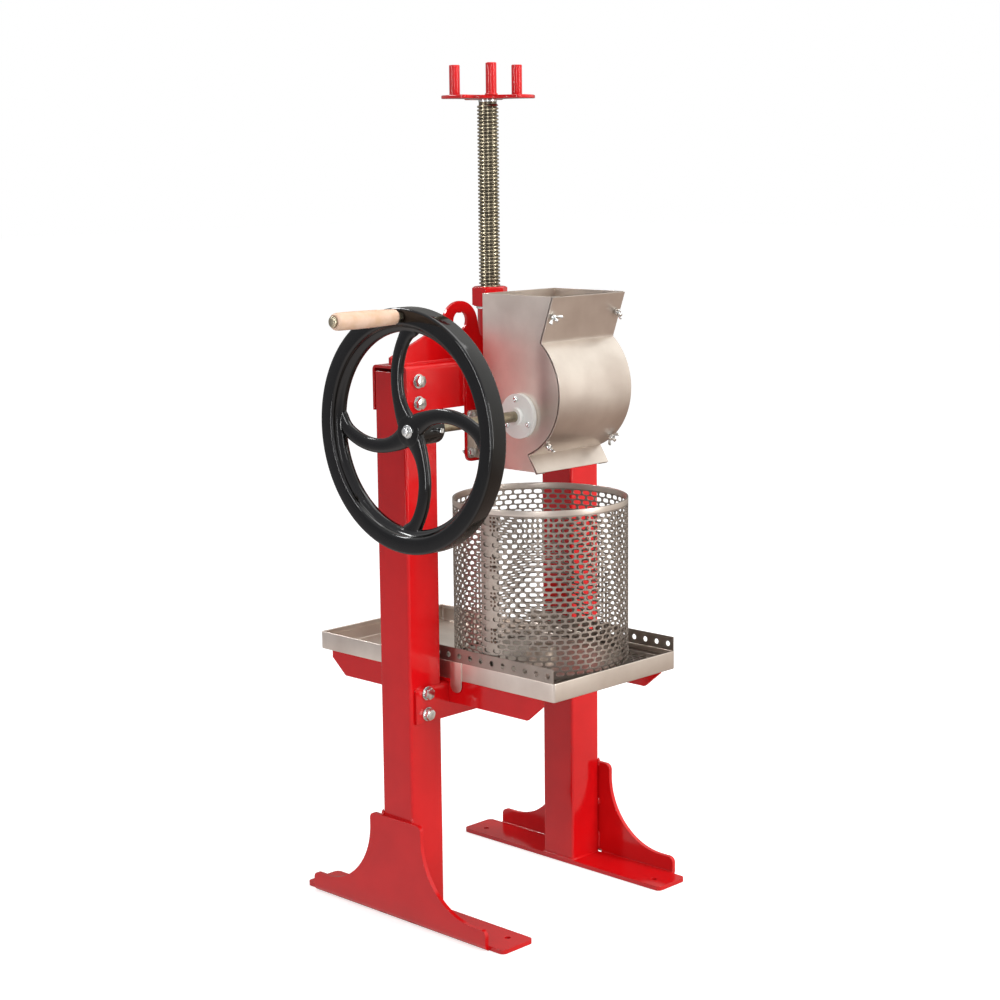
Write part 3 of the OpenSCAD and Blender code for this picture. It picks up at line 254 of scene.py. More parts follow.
def make_piece(name, parts, finish_name, body, replaced=(), smooth=35, solid=0.0):
    """One object from parts of (points, quads): points merge where they meet, and pinched quads become triangles.

    Edges stay sharp above the smooth angle. Parts are closed and are turned outwards, except where solid gives an
    open sheet its wall.
    """
    points, quads, start = [], [], 0
    for part in parts:
        p, q = (np.asarray(part[0], float).reshape(-1, 3), part[1]) if solid else outward(part)
        points.append(p)
        quads.append(q + start)
        start += len(p)
    merged, index = np.unique(np.round(np.concatenate(points), 4) + 0.0, axis=0, return_inverse=True)
    quads = index.reshape(-1)[np.concatenate(quads)]
    same = quads == np.roll(quads, 1, axis=1)
    whole = quads[same.sum(1) == 0]
    pinched = same.sum(1) == 1
    thirds = quads[pinched][~same[pinched]].reshape(-1, 3)
    sizes = np.concatenate([np.full(len(whole), 4), np.full(len(thirds), 3)])
    mesh = bpy.data.meshes.new(name)
    mesh.vertices.add(len(merged))
    mesh.vertices.foreach_set("co", (merged * MM).astype(np.float32).ravel())
    mesh.loops.add(int(sizes.sum()))
    mesh.loops.foreach_set("vertex_index", np.concatenate([whole.ravel(), thirds.ravel()]).astype(np.int32))
    mesh.polygons.add(len(sizes))
    mesh.polygons.foreach_set("loop_start", (np.cumsum(sizes) - sizes).astype(np.int32))
    mesh.polygons.foreach_set("loop_total", sizes.astype(np.int32))
    mesh.polygons.foreach_set("use_smooth", np.ones(len(sizes), bool))
    mesh.update(calc_edges=True)
    mesh.validate()
    obj = bpy.data.objects.new(name, mesh)
    bpy.context.scene.collection.objects.link(obj)
    mesh.materials.append(finish(finish_name))
    if solid:
        wall = obj.modifiers.new("Wall", "SOLIDIFY")
        wall.thickness = solid * MM
        wall.offset = -1
        wall.use_even_offset = True
        corners = obj.modifiers.new("Corners", "EDGE_SPLIT")
        corners.split_angle = math.radians(smooth)
    else:
        mesh.set_sharp_from_angle(angle=math.radians(smooth))
    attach(obj, body)
    if replaced:
        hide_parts(*replaced)
    return obj


def rounded(points, radius, steps=4, closed=True):
    """The outline with each corner swapped for a parabola between the points one radius either side of it."""
    p = np.asarray(points, float)
    before, after = np.roll(p, 1, 0) - p, np.roll(p, -1, 0) - p
    back, on = np.linalg.norm(before, axis=1), np.linalg.norm(after, axis=1)
    reach = np.minimum(radius, 0.45 * np.minimum(back, on))[:, None]
    start = p + before / back[:, None] * reach
    end = p + after / on[:, None] * reach
    s = np.linspace(0, 1, steps + 1)[None, :, None]
    arcs = (1 - s) ** 2 * start[:, None] + 2 * s * (1 - s) * p[:, None] + s**2 * end[:, None]
    if closed:
        return arcs.reshape(-1, 2)
    return np.concatenate([p[:1], arcs[1:-1].reshape(-1, 2), p[-1:]])


def polar(r, degrees):
    """The points at a distance from the middle, in those directions: (r cos t, r sin t)."""
    t = np.radians(degrees)
    return np.stack([r * np.cos(t), r * np.sin(t)], -1)


def circle_at(middle, radius, count):
    """Points round a level circle, the last one on the first."""
    return np.asarray(middle) + np.pad(polar(radius, np.linspace(0, 360, count)), ((0, 0), (0, 1)))


def turned(profile, count=64, ring=False):
    """A profile of (radius, height) turned about +Z: x = r cos t, y = r sin t, z = h."""
    r, h = np.asarray(profile, float).T
    t = np.linspace(0, 2 * np.pi, count, endpoint=False)
    points = np.stack([r[:, None] * np.cos(t), r[:, None] * np.sin(t), np.repeat(h[:, None], count, 1)], -1)
    return points, grid(len(r), count, wrap_u=ring, wrap_v=True)


def placed(part, direction, origin, turn=0.0):
    """A part made along +Z, turned about it, pointed along a direction and moved to its origin."""
    up = Vector(direction).normalized()
    m = np.array(up.to_track_quat("Z", "Y").to_matrix() @ Matrix.Rotation(turn, 3, "Z"), float)
    return np.asarray(part[0], float).reshape(-1, 3) @ m.T + np.asarray(origin, float), part[1]


def stood(part, name):
    """A part made along +Z, stood on the press's own axis at the foot of a CAD node."""
    return placed(part, (0, 0, 1), (0, 0, box(name)[0][2]))


def plug(radius, h, chamfer=0.6, count=48, steps=3):
    """A round pin or disc from z 0 to h with its edges broken."""
    return turned(rounded([(0, 0), (radius, 0), (radius, h), (0, h)], chamfer, steps, False), count)


def stacked(outline, levels):
    """A closed outline of (x, y) at levels of (share, z): scaled about its middle by the share, raised to z."""
    middle = outline.mean(0)
    rows = [np.column_stack([middle + (outline - middle) * k, np.full(len(outline), z)]) for k, z in levels]
    return np.stack(rows), grid(len(levels), len(outline), wrap_v=True)


def plate(outline, h, soft=1.0, middle=None):
    """A plate from z 0 to h with a closed outline of (x, y) and both its edges rounded by the soft radius.

    Its two faces are fans about the middle, which must see every point of the outline.
    """
    outline = np.asarray(outline, float)
    edge = np.roll(outline, -1, 0) - np.roll(outline, 1, 0)
    inward = np.column_stack([-edge[:, 1], edge[:, 0]]) / np.linalg.norm(edge, axis=1)[:, None]
    inward *= np.sign((inward * (outline.mean(0) - outline)).sum())
    a = np.radians([0, 30, 60, 90])
    steps = [(soft - soft * np.sin(t), soft - soft * np.cos(t)) for t in a]
    rows = [(outline + inward * into, np.full(len(outline), z)) for into, z in steps]
    rows += [(outline + inward * into, np.full(len(outline), h - z)) for into, z in steps[::-1]]
    middle = outline.mean(0) if middle is None else np.array(middle, float)
    middle = np.repeat(middle[None], len(outline), 0)
    rows = [(middle, rows[0][1])] + rows + [(middle, rows[-1][1])]
    return np.stack([np.column_stack(r) for r in rows]), grid(len(rows), len(outline), wrap_v=True)


def washer(outer, inner, h, soft=0.5, count=64):
    """A flat ring with soft edges: a rounded rectangle turned about the axis."""
    return turned(rounded([(inner, 0), (outer, 0), (outer, h), (inner, h)], soft, 3), count, ring=True)


def revolved(rows, t):
    """Rows of (radius, height), each one number or one for every direction t, turned about +Z."""
    return np.stack([np.column_stack([r * np.cos(t), r * np.sin(t), z + 0 * t]) for r, z in rows])


def hexagon_rim(flat, t):
    """The distance to a hexagon's side in direction t: flat / cos of t's angle from the side's middle."""
    return flat / np.cos((t + np.pi / 6) % (np.pi / 3) - np.pi / 6)


def hexagon(across, h, bore=0.0):
    """A hexagon with its corners cut by a cone: the top falls 0.577 of what they stand out past the flats."""
    t = np.arange(72) * 2 * np.pi / 72
    flat = across / 2
    rho = hexagon_rim(flat, t)
    top = h - 0.577 * (rho - flat * 0.96)
    rows = [(bore, 0), (rho, 0), (rho, top), (flat * 0.96, h), (bore, h)]
    return revolved(rows, t), grid(len(rows), len(t), wrap_u=bore > 0, wrap_v=True)


def carried(section, path, normals, closed=False, capped=True):
    """A section of (side, up) carried along a path, where side is the normal and up is tangent x normal."""
    path, normals = np.asarray(path, float), np.asarray(normals, float)
    tangent = np.roll(path, -1, 0) - np.roll(path, 1, 0) if closed else np.gradient(path, axis=0)
    tangent /= np.linalg.norm(tangent, axis=1)[:, None]
    side = normals - (normals * tangent).sum(1)[:, None] * tangent
    side /= np.linalg.norm(side, axis=1)[:, None]
    up = np.cross(tangent, side)
    section = np.asarray(section, float)
    if section.ndim == 2:
        section = np.repeat(section[None], len(path), 0)
    if capped and not closed:
        path = np.concatenate([path[:1], path, path[-1:]])
        side = np.concatenate([side[:1], side, side[-1:]])
        up = np.concatenate([up[:1], up, up[-1:]])
        middle = section[[0, -1]].mean(1, keepdims=True) + 0 * section[[0, -1]]
        section = np.concatenate([middle[:1], section, middle[1:]])
    points = path[:, None] + section[..., :1] * side[:, None] + section[..., 1:] * up[:, None]
    return points, grid(len(path), section.shape[1], wrap_u=closed, wrap_v=True)


def lengths(path):
    """How far along a polyline each of its points lies."""
    return np.concatenate([[0], np.cumsum(np.linalg.norm(np.diff(path, axis=0), axis=1))])


def resampled(path, step):
    """Points at equal steps along a polyline, with its length at each."""
    path = np.asarray(path, float)
    s = lengths(path)
    u = np.linspace(0, s[-1], max(int(s[-1] / step), 2) + 1)
    return np.stack([np.interp(u, s, path[:, k]) for k in range(path.shape[1])], -1), u


def weld(path, size, pitch=3.4):
    """A welded bead whose radius swells once a pitch like stacked coins, and fades at both its ends."""
    line, u = resampled(path, pitch / 5)
    swell = np.abs(np.cos(np.pi * u / pitch)) ** 0.7
    fade = np.clip(np.minimum(u, u[-1] - u) / size, 0.03, 1) ** 0.5
    r = size * (0.46 + 0.08 * swell) * fade
    section = polar(r[:, None], 36 * np.arange(10))
    steep = np.abs(np.gradient(line, axis=0)[:, 2]) > 0.5 * pitch / 5
    normals = np.where(steep[:, None], [[1.0, 0.3, 0.0]], [[0.0, 0.2, 1.0]])
    if steep.any() and not steep.all():
        normals[:] = [0.37, 0.41, 0.83]
    return carried(section, line, normals)


def punched(u, v, cells, half, radius):
    """A sheet over the lines u and v, with an obround hole in every cell of four by four fields.

    Each hole's 16 points join the 16 points of its cell's edge, so the sheet stays whole round it.
    """
    n, m = len(u), len(v)
    flat = np.stack(np.meshgrid(u, v, indexing="ij"), -1).reshape(-1, 2)
    fields = grid(n, m)
    i, j = fields[:, 0] // m, fields[:, 0] % m
    taken = np.zeros((n - 1, m - 1), bool)
    ci, cj = np.asarray(cells, int).reshape(-1, 2).T
    for a in range(4):
        for b in range(4):
            taken[ci + a, cj + b] = True
    fields = fields[~taken[i, j]]
    walk = np.array([(0, 0), (1, 0), (2, 0), (3, 0), (4, 0), (4, 1), (4, 2), (4, 3),
                     (4, 4), (3, 4), (2, 4), (1, 4), (0, 4), (0, 3), (0, 2), (0, 1)])
    rim = (ci[:, None] + walk[:, 0]) * m + cj[:, None] + walk[:, 1]
    if half > 0:
        turn = [234, 270, 270, 270, 306, 333, 0, 27, 54, 90, 90, 90, 126, 153, 180, 207]
        shift = np.array([-1, -1, 0, 1, 1, 1, 1, 1, 1, 1, 0, -1, -1, -1, -1, -1])
    else:
        turn, shift = 225 + 22.5 * np.arange(16), np.zeros(16)
    ring = polar(radius, turn) + np.column_stack([half * shift, 0 * shift])
    middle = (flat[rim[:, 0]] + flat[rim[:, 8]]) / 2
    holes = middle[:, None] + ring
    inner = n * m + np.arange(len(ci) * 16).reshape(-1, 16)
    quads = np.stack([rim, np.roll(rim, -1, 1), np.roll(inner, -1, 1), inner], -1).reshape(-1, 4)
    return np.concatenate([flat, holes.reshape(-1, 2)]), np.concatenate([fields, quads])


def used(part):
    """The part without points that no face uses."""
    keep, index = np.unique(part[1], return_inverse=True)
    return np.asarray(part[0])[keep], index.reshape(part[1].shape)


# Pieces that keep their CAD shape


def dress(names, finish_name, angle=30):
    """Gives CAD nodes a finish; live modifiers join their triangles and smooth them below the angle."""
    for name in names:
        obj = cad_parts[name]
        obj.data.polygons.foreach_set("use_smooth", np.ones(len(obj.data.polygons), bool))
        obj.modifiers.new("Join", "WELD").merge_threshold = 0.02 * MM
        obj.modifiers.new("Corners", "EDGE_SPLIT").split_angle = math.radians(angle)
        obj.data.materials.clear()
        obj.data.materials.append(finish(finish_name))


class CIDER_PRESS_OT_frame_finish(bpy.types.Operator):
    """Finish the frame, the housing, the bearings, the drum and the press plate"""

    bl_idname = "cider_press.frame_finish"
    bl_label = "Frame and housing"

    def execute(self, context):
        dress(["left_post", "right_post", "left_foot", "right_foot", "top_beam", "middle_beam", "left_arch",
               "right_arch", "mount_plate", "left_rail", "right_rail"], "red_paint")
        dress(["left_side_plate", "right_side_plate", "hopper_back"], "stainless_upright")
        dress(["press_plate", "plate_cup"], "stainless_across")
        dress(["drum_shaft", "drum"], "steel_turned")
        dress(["left_bearing", "right_bearing"], "white_plastic")
        dress(["cover_studs", "thrust_shoe"], "zinc")
        return {"FINISHED"}


class CIDER_PRESS_OT_welds(bpy.types.Operator):
    """Run welded beads along the joints of the frame"""

    bl_idname = "cider_press.welds"
    bl_label = "Welds"

    def execute(self, context):
        size = context.scene.cider_press_sizes.weld_size / MM
        parts = []
        post, beam, mount = box("right_post"), box("top_beam"), box("mount_plate")
        sleeve, arch = box("nut_sleeve"), box("right_arch")
        floor = post[0][2]
        half = (post[1][1] - post[0][1]) / 2
        # Round the post's foot on three sides, with the tube's corner radius; the flange stands on the fourth.
        r = 5
        near = [post[0][0] + r, r - half] - polar(r, np.linspace(0, 90, 7))[:, ::-1]
        ring = np.concatenate([[[post[1][0] - 2, -half]], near, near[::-1] * [1, -1], [[post[1][0] - 2, half]]])
        radius, top = sleeve[1][0], sleeve[0][2]
        for s in (-1, 1):
            parts.append(weld(np.column_stack([s * ring[:, 0], ring[:, 1], np.full(len(ring), floor)]), size))
            for t in (-1, 1):
                # Three beads up each of the post's edges at the foot's flange, from and to above the foot's base
                x = s * post[1][0]
                for low, high in ((3, 39), (91, 109), (171, 189)):
                    parts.append(weld([(x, t * half, floor + low), (x, t * half, floor + high)], size))
                edge = t * arch[1][1]
                inner, outer = s * (radius + 2), s * (arch[1][0] - 6)
                parts.append(weld([(inner, edge, top), (outer, edge, top)], size * 0.8))
                parts.append(weld([(s * radius, edge, top + 4), (s * radius, edge, top + 29)], size * 0.7))
            x, y = s * mount[1][0], beam[0][1]
            parts.append(weld([(x, y, beam[0][2] + 6), (x, y, beam[1][2] - 14)], size * 0.8))
        parts.append(weld(circle_at((0, 0, top), radius, 61), size * 0.8))
        make_piece("frame_welds", parts, "red_paint", "frame", smooth=60)
        return {"FINISHED"}


# Fasteners

# A frame bolt's washer, and the rise from one bolt of a pair to the other
WASHER_R = 12.5
BOLT_RISE = 38


def bolt_spots():
    """Places of the eight frame bolts as (x, z), top and middle beam, both sides, both of each pair.

    Those in the middle beam are 9 mm nearer the middle than those in the top beam.
    """
    lo, hi = box("beam_washers")
    x = [hi[0] - WASHER_R, hi[0] - WASHER_R - 9]
    z = [hi[2] - WASHER_R, lo[2] + WASHER_R + BOLT_RISE]
    return [(s * x[k], z[k] - BOLT_RISE * row) for k in (0, 1) for s in (-1, 1) for row in (0, 1)]


class CIDER_PRESS_OT_frame_bolts(bpy.types.Operator):
    """Put the eight frame bolts with their washers and nuts in"""

    bl_idname = "cider_press.frame_bolts"
    bl_label = "Frame bolts"

    def execute(self, context):
        bolts, washers, nuts = [], [], []
        across, shank = 19, 6.35
        bolt_lo, bolt_hi = box("beam_bolts")
        seat, back = (corner[1] for corner in box("beam_washers"))
        nut_hi = box("beam_nuts")[1]
        for k, (x, z) in enumerate(bolt_spots()):
            turn = 0.35 + 0.9 * k
            bolts.append(placed(hexagon(across, seat - bolt_lo[1]), (0, -1, 0), (x, seat, z), turn))
            bolts.append(placed(plug(shank, bolt_hi[1] - seat - 0.1, 1.2), (0, 1, 0), (x, seat + 0.1, z)))
            for y, way in ((seat + 2, -1), (back - 2, 1)):
                washers.append(placed(washer(WASHER_R, 6.6, 1.99), (0, way, 0), (x, y, z)))
            nuts.append(placed(hexagon(across, nut_hi[1] - back, bore=6.4), (0, 1, 0), (x, back, z), turn))
        make_piece("frame_bolts", bolts, "zinc", "frame", ["beam_bolts"])
        make_piece("frame_washers", washers, "zinc", "frame", ["beam_washers"])
        make_piece("frame_nuts", nuts, "zinc", "frame", ["beam_nuts"])
        return {"FINISHED"}


class CIDER_PRESS_OT_mount_bolts(bpy.types.Operator):
    """Put the grinder's mount bolts, nuts and bearing screws in"""

    bl_idname = "cider_press.mount_bolts"
    bl_label = "Mount bolts"

    def execute(self, context):
        lo, hi = box("mount_bolts")
        nut_lo, nut_hi = box("mount_nuts")
        bolts, nuts = [], []
        flange, across, head, shank = 8, 13, 6, 4
        seat = lo[1] + head
        spots = [(s * (hi[0] - flange), z) for s in (-1, 1) for z in (lo[2] + flange, hi[2] - flange)]
        for k, (x, z) in enumerate(spots):
            bolts.append(placed(washer(flange, shank, 1.5, 0.4), (0, -1, 0), (x, seat, z)))
            bolts.append(placed(hexagon(across, head), (0, -1, 0), (x, seat, z), 0.5 * k))
            bolts.append(placed(plug(shank, hi[1] - seat - 0.1, 0.8), (0, 1, 0), (x, seat + 0.1, z)))
            nut = hexagon(across, nut_hi[1] - nut_lo[1], bore=4.1)
            nuts.append(placed(nut, (0, 1, 0), (x, nut_lo[1], z), k))
        make_piece("mount_bolt_heads", bolts, "zinc", "frame", ["mount_bolts"])
        make_piece("mount_bolt_nuts", nuts, "zinc", "frame", ["mount_nuts"])
        x = box("bearing_screws")[1][0] - 3
        _, y, z = centre_of("right_bearing")
        # Pan heads with a recess for the driver, three on a circle round the shaft.
        circle = 29
        dome = [(0, 0), (5.5, 0), (5.5, 0.9), (4.9, 1.9), (3.6, 2.7), (2.0, 3.0), (1.6, 2.2), (0, 1.9)]
        screws = []
        for s in (-1, 1):
            for forward, up in polar(circle, [85, 205, 325]):
                at = (s * x, y + forward, z + up)
                screws.append(placed(turned(rounded(dome, 0.5, 3, False), 32), (s, 0, 0), at))
        make_piece("bearing_screw_heads", screws, "zinc", "frame", ["bearing_screws"])
        return {"FINISHED"}


# Screw and handle


def lobed_outline(rim, waist, half, turn):
    """A disc's outline with three round bites, in the directions turn, turn + 120 and turn + 240 degrees.

    A bite's circle passes through the waist and through the rim 60 - half degrees off its own direction. A parabola
    blends each corner, from where a line out of the middle touches the circle to a little way round the rim.
    """
    bite = (rim**2 - waist**2) / (2 * (polar(rim, 60 - half)[0] - waist))
    radius = bite - waist
    touch = math.degrees(math.asin(radius / bite))
    arc = [bite, 0] + polar(radius, np.linspace(touch - 90, 90 - touch, 25)) * [-1, 1]
    s = np.linspace(0, 1, 8)[1:-1, None]
    tip = (1 - s) ** 2 * arc[-1] + 2 * s * (1 - s) * polar(rim - 0.2, touch) + s**2 * polar(rim, touch + 4.5)
    lobe = np.concatenate([tip, polar(rim, np.linspace(touch + 4.5, 60, 12))])
    third = np.concatenate([(lobe * [1, -1])[:0:-1], arc, lobe])
    lines = []
    for k in range(3):
        c, d = polar(1, turn + 120 * k)
        lines.append(third @ np.array([(c, d), (-d, c)]))
    return np.concatenate(lines)


class CIDER_PRESS_OT_screw(bpy.types.Operator):
    """Cut the press screw's helical thread and make its collar, handle disc and pegs"""

    bl_idname = "cider_press.screw"
    bl_label = "Screw and handle"

    def execute(self, context):
        sizes = context.scene.cider_press_sizes
        pitch, deep = sizes.thread_pitch / MM, sizes.thread_depth / MM
        lo, hi = box("press_screw")
        # Below the thread the bar ends in a smooth spigot for the shoe.
        spigot = 11.7
        root = hi[0] - deep
        low, high = lo[2] + spigot, hi[2]
        # The helix: a point at angle t and share f of a turn lies at height (t / 2 pi + f) pitches.
        share = np.array([0, 0.13, 0.16, 0.3, 0.33, 0.67, 0.7, 0.84, 0.87, 1])
        rise = np.array([0, 0, 0.07, 0.93, 1, 1, 0.93, 0.07, 0, 0])
        steps = 40
        turns = int((high - low) / pitch) + 3
        t = np.arange(turns * steps + 1) * 2 * np.pi / steps
        z = low - pitch + (t[:, None] / (2 * np.pi) + share) * pitch
        r = root + rise * deep + 0 * z
        taper = np.clip((np.minimum(z - low, high - z) - 3) / 3, 0, 1)
        r = root + (r - root) * taper
        points = np.stack([r * np.cos(t)[:, None], r * np.sin(t)[:, None], np.clip(z, low, high)], -1)
        thread = (points, grid(len(t), len(share)))
        make_piece("screw_thread", [thread], "steel", "screw", ["press_screw"], smooth=25)
        ends = [placed(plug(root - 0.02, high - low + 0.02, 0.5), (0, 0, 1), (0, 0, low - 0.01)),
                placed(plug(9.5, low - lo[2] + 1, 1.0), (0, 0, -1), (0, 0, low + 1))]
        make_piece("screw_core", ends, "steel", "screw")
        lo, hi = box("screw_collar")
        collar = stood(plug(hi[0], hi[2] - lo[2], 1.5, 64, 4), "screw_collar")
        make_piece("handle_collar", [collar], "zinc", "screw", ["screw_collar"])
        lo, hi = box("handle_disc")
        disc = stood(plate(lobed_outline(hi[0], 40, 27, 50), hi[2] - lo[2], 1.4, (0, 0)), "handle_disc")
        make_piece("handle_plate", [disc], "red_paint", "screw", ["handle_disc"])
        lo, hi = box("handle_pegs")
        # Three pegs on a circle, each with a bead of weld round its foot.
        circle, radius = 64.4, 9.5
        pegs, beads = [], []
        for x, y in polar(circle, [-10, 110, 230]):
            pegs.append(placed(plug(radius, hi[2] - lo[2], 1.6), (0, 0, 1), (x, y, lo[2])))
            beads.append(weld(circle_at((x, y, lo[2]), radius, 41), 3.6, 2.4))
        make_piece("handle_grips", pegs, "red_paint", "screw", ["handle_pegs"])
        make_piece("handle_welds", beads, "red_paint", "screw", smooth=60)
        return {"FINISHED"}


class CIDER_PRESS_OT_nut(bpy.types.Operator):
    """Make the sleeve, the thrust washer and the screw's big nut"""

    bl_idname = "cider_press.nut"
    bl_label = "Screw nut"

    def execute(self, context):
        clear = 19.6
        lo, hi = box("nut_sleeve")
        sleeve = stood(washer(hi[0], clear, hi[2] - lo[2], 0.8), "nut_sleeve")
        make_piece("sleeve_tube", [sleeve], "red_paint", "frame", ["nut_sleeve"])
        lo, hi = box("thrust_washer")
        ring = stood(washer(hi[0], clear, hi[2] - lo[2] - 0.02, 0.9), "thrust_washer")
        make_piece("thrust_ring", [ring], "zinc", "frame", ["thrust_washer"])
        lo, hi = box("screw_nut")
        h = hi[2] - lo[2]
        # A hexagon 57.15 mm across its flats, with both its faces cut by a cone.
        t = np.arange(96) * 2 * np.pi / 96
        flat = 57.15 / 2
        rho = hexagon_rim(flat, t)
        drop = (rho - flat * 0.985) * 0.5
        bore = 19.15
        rows = [(bore, 0), (flat * 0.97, 0), (flat * 0.985, 0.2), (rho, drop + 0.3), (rho, h - drop - 0.3),
                (flat * 0.985, h - 0.2), (flat * 0.97, h), (bore + 1.2, h), (bore, h - 1.2)]
        nut = (revolved(rows, t) + [0, 0, lo[2]], grid(len(rows), len(t), wrap_u=True, wrap_v=True))
        make_piece("screw_nut_body", [nut], "red_paint", "frame", ["screw_nut"])
        return {"FINISHED"}


# Flywheel and crank


def on_wheel(part):
    """Moves a part from the wheel's own frame, x forward, y up and z outward, to its place on the drum shaft."""
    p = np.asarray(part[0], float).reshape(-1, 3)
    _, y, z = centre_of("flywheel")
    return np.column_stack([-p[:, 2], y - p[:, 0], z + p[:, 1]]), part[1]


class CIDER_PRESS_OT_flywheel(bpy.types.Operator):
    """Cast the flywheel: a turned rim and hub joined by four curved spokes that flare at both ends"""

    bl_idname = "cider_press.flywheel"
    bl_label = "Flywheel"

    def execute(self, context):
        sizes = context.scene.cider_press_sizes
        lo, hi = box("flywheel")
        outer = (hi[1] - lo[1]) / 2
        # The rim is 35 mm wide, with a step inside its front edge down to the web that the spokes meet.
        front, back = -lo[0], -lo[0] - 35
        mid = front - 19
        rim = [(175, back), (outer, back), (outer, front), (175, front), (172.5, mid + 9.5), (163.2, mid + 5.2),
               (163.2, mid - 5.2), (172.5, mid - 9.5)]
        parts = [on_wheel(turned(rounded(rim, 4.5, 5), 160, ring=True))]
        hub_front, hub_back = front - 12, -hi[0]
        hub = [(0, hub_back), (24.6, hub_back), (25.6, mid - 9), (25.9, hub_front), (0, hub_front)]
        parts.append(on_wheel(turned(rounded(hub, 2.4, 4, False), 96)))
        # A spoke's line is an arc of radius 128 over a chord of 167; its section is a superellipse that widens
        # towards both ends.
        bend, chord = 128.0, 167
        centre = np.array([chord / 2, -math.sqrt(bend**2 - (chord / 2) ** 2)])
        start = math.atan2(-centre[1], -centre[0])
        end = math.atan2(-centre[1], chord - centre[0])
        a = np.linspace(start - 0.06, end - 0.075, 56)
        s = np.abs(a - a[0]) * bend
        width, flare = sizes.spoke_width / MM, sizes.spoke_flare / MM
        wide = width + flare * (np.exp(-((s / 34) ** 2)) + np.exp(-(((s[-1] - s) / 17) ** 2)))
        thick = 12.8 + 2.4 * np.exp(-((s / 30) ** 2))
        q = np.arange(28) * 2 * np.pi / 28
        shape = [np.sign(wave) * np.abs(wave) ** 0.62 for wave in (np.cos(q), np.sin(q))]
        section = np.stack([wide[:, None] / 2 * shape[0], thick[:, None] / 2 * shape[1]], -1)
        line = np.column_stack([centre[0] + bend * np.cos(a), centre[1] + bend * np.sin(a), 0 * a + mid])
        normals = np.column_stack([np.cos(a), np.sin(a), 0 * a])
        for k in range(4):
            turn = np.array(Matrix.Rotation(math.pi / 2 * k, 3, "Z"), float)
            parts.append(on_wheel(carried(section, line @ turn.T, normals @ turn.T)))
        make_piece("flywheel_casting", parts, "black_paint", "grinder", ["flywheel"], smooth=50)
        bolt = ((hub_front, plug(11, 2, 0.4)), (hub_front + 2, hexagon(13, 6)))
        fittings = [on_wheel(placed(shape, (0, 0, 1), (0, 0, z), 0.3)) for z, shape in bolt]
        make_piece("shaft_end_bolt", fittings, "zinc", "grinder", ["shaft_bolt"])
        # The set screw: a square head on a round shank.
        lo, hi = box("hub_set_screw")
        x, _, z = centre_of("hub_set_screw")
        y = lo[1]
        head = rounded([(-4, -4), (4, -4), (4, 4), (-4, 4)], 0.8, 2)
        head = stacked(head, [(0, 0), (0.78, 0), (1, 0.9), (1, 7), (0, 7)])
        screw = [placed(head, (0, 1, 0), (x, y, z), 0.2),
                 placed(plug(4, hi[1] - y - 5), (0, 1, 0), (x, y + 5, z))]
        make_piece("set_screw", screw, "zinc", "grinder", ["hub_set_screw"])
        return {"FINISHED"}


class CIDER_PRESS_OT_crank(bpy.types.Operator):
    """Turn the maple grip and make the crank bolt and its nuts"""

    bl_idname = "cider_press.crank"
    bl_label = "Crank handle"

    def execute(self, context):
        lo, hi = box("grip")
        _, y, z = centre_of("grip")
        span = hi[0] - lo[0]
        # The grip's radius against its length: thin at the wheel, fullest past the middle, rounded at both ends.
        bore = 4.8
        at = np.array([0, 0.004, 0.02, 0.1, 0.25, 0.42, 0.6, 0.8, 0.94, 0.975, 0.99, 1]) * span
        r = np.array([10.6, 11.6, 12.4, 12.9, 13.6, 14.2, 14.5, 14.5, 14.4, 13.7, 12.6, 11.2])
        along = np.linspace(0, span, 60)
        line = np.column_stack([np.interp(along, at, r), along])
        wood = turned(np.concatenate([[(bore, 0)], line, [(bore, span)]]), 72, ring=True)
        wood = placed(wood, (-1, 0, 0), (hi[0], y, z))
        make_piece("crank_grip_wood", [wood], "maple", "crank_grip", ["grip"], smooth=40)
        # The bolt's head has a flange and stands on the grip's outer end.
        lo, hi = box("crank_bolt")
        rod = plug(4.7, hi[0] - lo[0] - 4, 0.8, 40)
        head = turned(rounded([(0, 0), (9.2, 0), (9.2, 3), (6.8, 3.6), (6.4, 5), (0, 5)], 0.8, 4, False), 48)
        parts = [placed(rod, (-1, 0, 0), (hi[0], y, z)), placed(head, (-1, 0, 0), (lo[0] + 5, y, z))]
        make_piece("crank_bolt_rod", parts, "steel_turned", "grinder", ["crank_bolt"])
        lo, hi = box("crank_nut")
        nuts = [placed(hexagon(16, 5, bore=4.75), (-1, 0, 0), (lo[0] + 5, y, z), 0.2),
                placed(hexagon(16, 7, bore=4.75), (1, 0, 0), (hi[0] - 7, y, z), 0.5)]
        make_piece("crank_nuts", nuts, "steel_turned", "grinder", ["crank_nut"])
        return {"FINISHED"}


# Grinder cover and its wing nuts

# The belly's centre in (y, z) and its radius, with the directions from there in which its arc begins and ends
BELLY = np.array([-139.4, 949.3])
BELLY_R = 113.5
NECK_AT, CHUTE_AT = 128.7, 249.3
# How far the flare and the lip lean out of the upright, in degrees
FLARE_LEAN, LIP_LEAN = 19.5, 33.4
# The studs' distance from the middle, and the way they point in the plane across the press
STUD_X = 82.0
STUD_WAY = math.radians(214)


def leaning(degrees):
    """The direction in (y, z) that leans forward out of the upright."""
    return np.array([-math.sin(math.radians(degrees)), math.cos(math.radians(degrees))])


def cover_line():
    """The cover's outer line in (y, z): flare, belly arc and lip, with its length at each point."""
    flare = BELLY + polar(BELLY_R, NECK_AT) + 84 * leaning(FLARE_LEAN)
    lip = BELLY + polar(BELLY_R, CHUTE_AT) + 37 * leaning(LIP_LEAN) * [1, -1]
    belly = BELLY + polar(BELLY_R, np.linspace(NECK_AT, CHUTE_AT, 60))
    line, _ = resampled(np.concatenate([[flare], belly, [lip]]), 0.5)
    return line, lengths(line)


